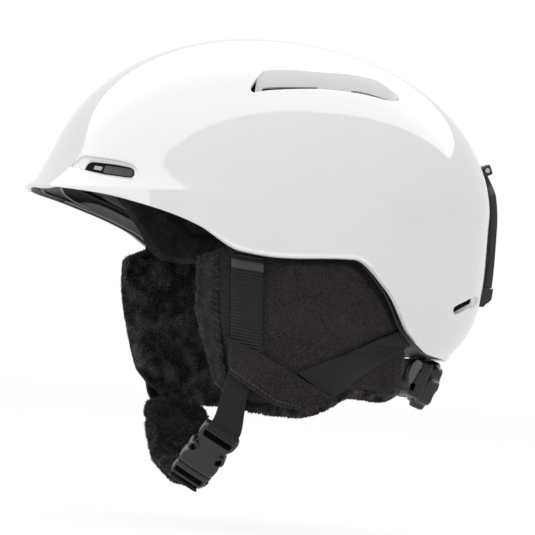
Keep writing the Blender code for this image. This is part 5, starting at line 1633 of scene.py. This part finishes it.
def lockSpot(z, stand):
    return skinPoint(180, z, -stand)


def buildLock():
    s = lockSet
    pinCentre = lockSpot(s["topZ"], s["stand"])

    def strip(u, v, stand):
        z = lerp(s["topZ"] - s["knuckle"] * 0.2, s["clipZ"], v)
        taper = ease((s["topZ"] - s["knuckle"] * 1.6 - z) / 0.010)
        half = lerp(s["knuckleWidth"] / 2, s["width"] / 2, taper)
        lift = lerp(s["stand"] - s["wall"] * 0.25 + (stand - s["gap"]) * 0.5, stand, ease(v / 0.12))
        return lockSpot(z, lift) + Vector((lerp(-half, half, u), 0, 0))

    def faceLift(u, v):
        across = abs(2 * u - 1)
        groove = 0.0008 * math.exp(-(((across - 0.62) / 0.06) ** 2)) * ease(v / 0.25) * ease((1 - v) / 0.12)
        return s["gap"] + s["wall"] - groove - 0.0006 * across**8

    def rod(name, reach, radius):
        def path(t):
            return pinCentre + Vector((lerp(-reach, reach, t) * s["knuckleWidth"], 0, 0))

        return addTube(name, 6, 36, path, radius)

    band = thickSheet("lock_band", 44, 90, lambda u, v: strip(u, v, faceLift(u, v)),
                      lambda u, v: strip(u, v, s["gap"]))
    bevelled(band, 0.0008, 3, 55)
    knuckle = bevelled(rod("knuckle", 0.5, s["knuckle"]), 0.0006)
    cutAway(knuckle, rod("bore", 0.6, s["pin"] + s["pinRoom"]))
    cutAway(band, rod("bore", 1, s["pin"] + s["pinRoom"]))
    band = joined("lock_band", [band, knuckle])
    dress(band, "goggle_lock", "rubber", softRubber, "goggle_lock_band", angle=40)

    def clip(u, v, stand):
        z = lerp(s["clipZ"] - 0.0003, s["bottomZ"], v)
        return lockSpot(z, stand) + Vector((lerp(-s["width"] / 2, s["width"] / 2, u), 0, 0))

    def clipFace(u, v):
        ridge = 0.0004 * max(math.sin(v * math.pi * 9), 0)
        ridge *= ease((0.92 - abs(2 * u - 1)) / 0.1)
        ridge *= ease((0.75 - v) / 0.1)
        return s["gap"] + s["wall"] + 0.0006 - 0.004 * ease(2 * v - 1) + ridge

    end = thickSheet("lock_clip", 40, 48, lambda u, v: clip(u, v, clipFace(u, v)),
                     lambda u, v: clip(u, v, 0.0012))
    bevelled(end, 0.0007, sharp=60)
    foot = lockSpot(s["studZ"], 0.0006)
    bore = addTube("socketBore", 4, 36, lambda t: foot + Vector((0, lerp(-0.004, 0.0043, t), 0)), 0.0031)
    cutAway(end, bore)
    dress(end, "goggle_lock", "rubber", softRubber, "goggle_lock_clip", angle=40)


buildLock()
print("goggle lock built")


# CAD pieces whose shape is right keep it and take these finishes
finishes = {
    "strap_anchor_": blackNylon, "fit_cradle": blackNylon, "cradle_snap": blackNylon,
    "dial_housing": blackNylon, "dial_pinion": blackNylon, "buckle_prong": charcoalAcetal,
    "tongue_guide": charcoalAcetal, "ear_pad_snap": steel, "goggle_lock_pin": steel,
    "goggle_lock_stud": steel, "goggle_lock_base": softRubber,
}
for nodeName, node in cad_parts.items():
    for start, finish in finishes.items():
        if nodeName.startswith(start):
            node.data.materials.clear()
            node.data.materials.append(finish)
print("CAD finishes set")


# camera at the photograph's place
cameraSet = {"azimuth": 74.7, "elevation": -1.6, "roll": 4.3, "distance": 1.8, "focal": 2899, "image": 535,
             "target": Vector((0, -0.0124, -0.0038))}


def setCamera():
    s = cameraSet
    az, el, roll = [math.radians(s[k]) for k in ("azimuth", "elevation", "roll")]
    back = Vector((math.sin(az) * math.cos(el), -math.cos(az) * math.cos(el), math.sin(el)))
    right = Vector((math.cos(az), math.sin(az), 0))
    up = back.cross(right)
    across = right * math.cos(roll) + up * math.sin(roll)
    upward = up * math.cos(roll) - right * math.sin(roll)
    bpy.ops.object.camera_add()
    camera = bpy.context.object
    camera.data.sensor_width = 36
    camera.data.lens = s["focal"] * 36 / s["image"]
    camera.data.clip_end = 50
    turn = Matrix((across, upward, back)).transposed().to_4x4()
    camera.matrix_world = Matrix.Translation(s["target"] + back * s["distance"]) @ turn
    bpy.context.scene.camera = camera
    bpy.context.scene.view_settings.view_transform = "Standard"


setCamera()


# white sweep, soft lamps for the colours and wide cards that only the gloss shows
stageSet = {"floorZ": -0.1650, "floorSize": 9.0, "shadowShare": 0.16, "glow": 1.06, "world": 0.61}
lampSet = {
    "overheadSoftbox": {"place": (0.2, -0.1, 1.5), "size": (1.4, 1.4), "watts": 5.0, "shows": "diffuse"},
    "frontSoftbox": {"place": (0.5, -1.6, 0.5), "size": (1.2, 1.2), "watts": 2.5, "shows": "diffuse"},
    "sideSoftbox": {"place": (1.7, 0.5, 0.6), "size": (1.2, 1.2), "watts": 3.0, "shows": "diffuse"},
    "ceilingCard": {"place": (-0.682, 0.043, 1.2), "aim": (-0.682, 0.043, 0), "turn": 111.6,
                    "size": (3.6, 2.6), "watts": 88, "shows": "gloss"},
    "frontCard": {"place": (0.10, -1.62, 0.03), "aim": (0.10, 0, 0.03), "turn": 17, "size": (3.6, 2.3),
                  "watts": 76, "shows": "gloss"},
}


def seenShare(owner):  # 1 for what the camera, a mirror or glass sees, 0 for the light on the object
    path = addNode(owner, "ShaderNodeLightPath", {}).outputs
    bounced = addNode(owner, "ShaderNodeMath", {0: path["Is Glossy Ray"], 1: path["Is Transmission Ray"]},
                      operation="MAXIMUM")
    seen = addNode(owner, "ShaderNodeMath", {0: path["Is Camera Ray"], 1: bounced.outputs[0]},
                   operation="MAXIMUM")
    return seen.outputs[0]


def setStage():
    s = stageSet
    bpy.ops.object.select_all(action="DESELECT")
    bpy.ops.mesh.primitive_plane_add(size=s["floorSize"], location=(0, 0, s["floorZ"]))
    floor = bpy.context.object
    floor.name = "paleFloor"
    # painted sweep: plain white, faintly shaded under the object
    material, shader = newMaterial("paintedSweep", "#f4f4f4", 0.9)
    share = addNode(material, "ShaderNodeMath", {0: seenShare(material), 1: 1 - s["shadowShare"]},
                    operation="MULTIPLY")
    glow = addNode(material, "ShaderNodeEmission", {"Color": (1, 1, 1, 1), "Strength": s["glow"]})
    mix = addNode(material, "ShaderNodeMixShader", {0: share.outputs[0], 1: shader.outputs["BSDF"],
                                                    2: glow.outputs["Emission"]})
    surface = material.node_tree.nodes["Material Output"].inputs["Surface"]
    material.node_tree.links.new(mix.outputs[0], surface)
    floor.data.materials.append(material)

    world = bpy.data.worlds.new("studio")
    bpy.context.scene.world = world
    world.use_nodes = True
    back = world.node_tree.nodes["Background"]
    back.inputs["Color"].default_value = (1, 1, 1, 1)
    level = addNode(world, "ShaderNodeMapRange",
                    {"Value": seenShare(world), "To Min": s["world"], "To Max": 1.0})
    world.node_tree.links.new(level.outputs["Result"], back.inputs["Strength"])

    for name, lamp in lampSet.items():
        place = Vector(lamp["place"])
        bpy.ops.object.light_add(type="AREA", location=place)
        light = bpy.context.object
        light.name = name
        light.data.shape = "RECTANGLE"
        light.data.size, light.data.size_y = lamp["size"]
        light.data.energy = lamp["watts"]
        turn = (Vector(lamp.get("aim", (0, -0.02, 0.03))) - place).to_track_quat("-Z", "Y").to_matrix()
        light.rotation_euler = (turn @ Matrix.Rotation(math.radians(lamp.get("turn", 0)), 3, "Z")).to_euler()
        light.visible_diffuse = lamp["shows"] == "diffuse"
        light.visible_glossy = lamp["shows"] == "gloss"
        light.visible_camera = False


setStage()
print("stage set")
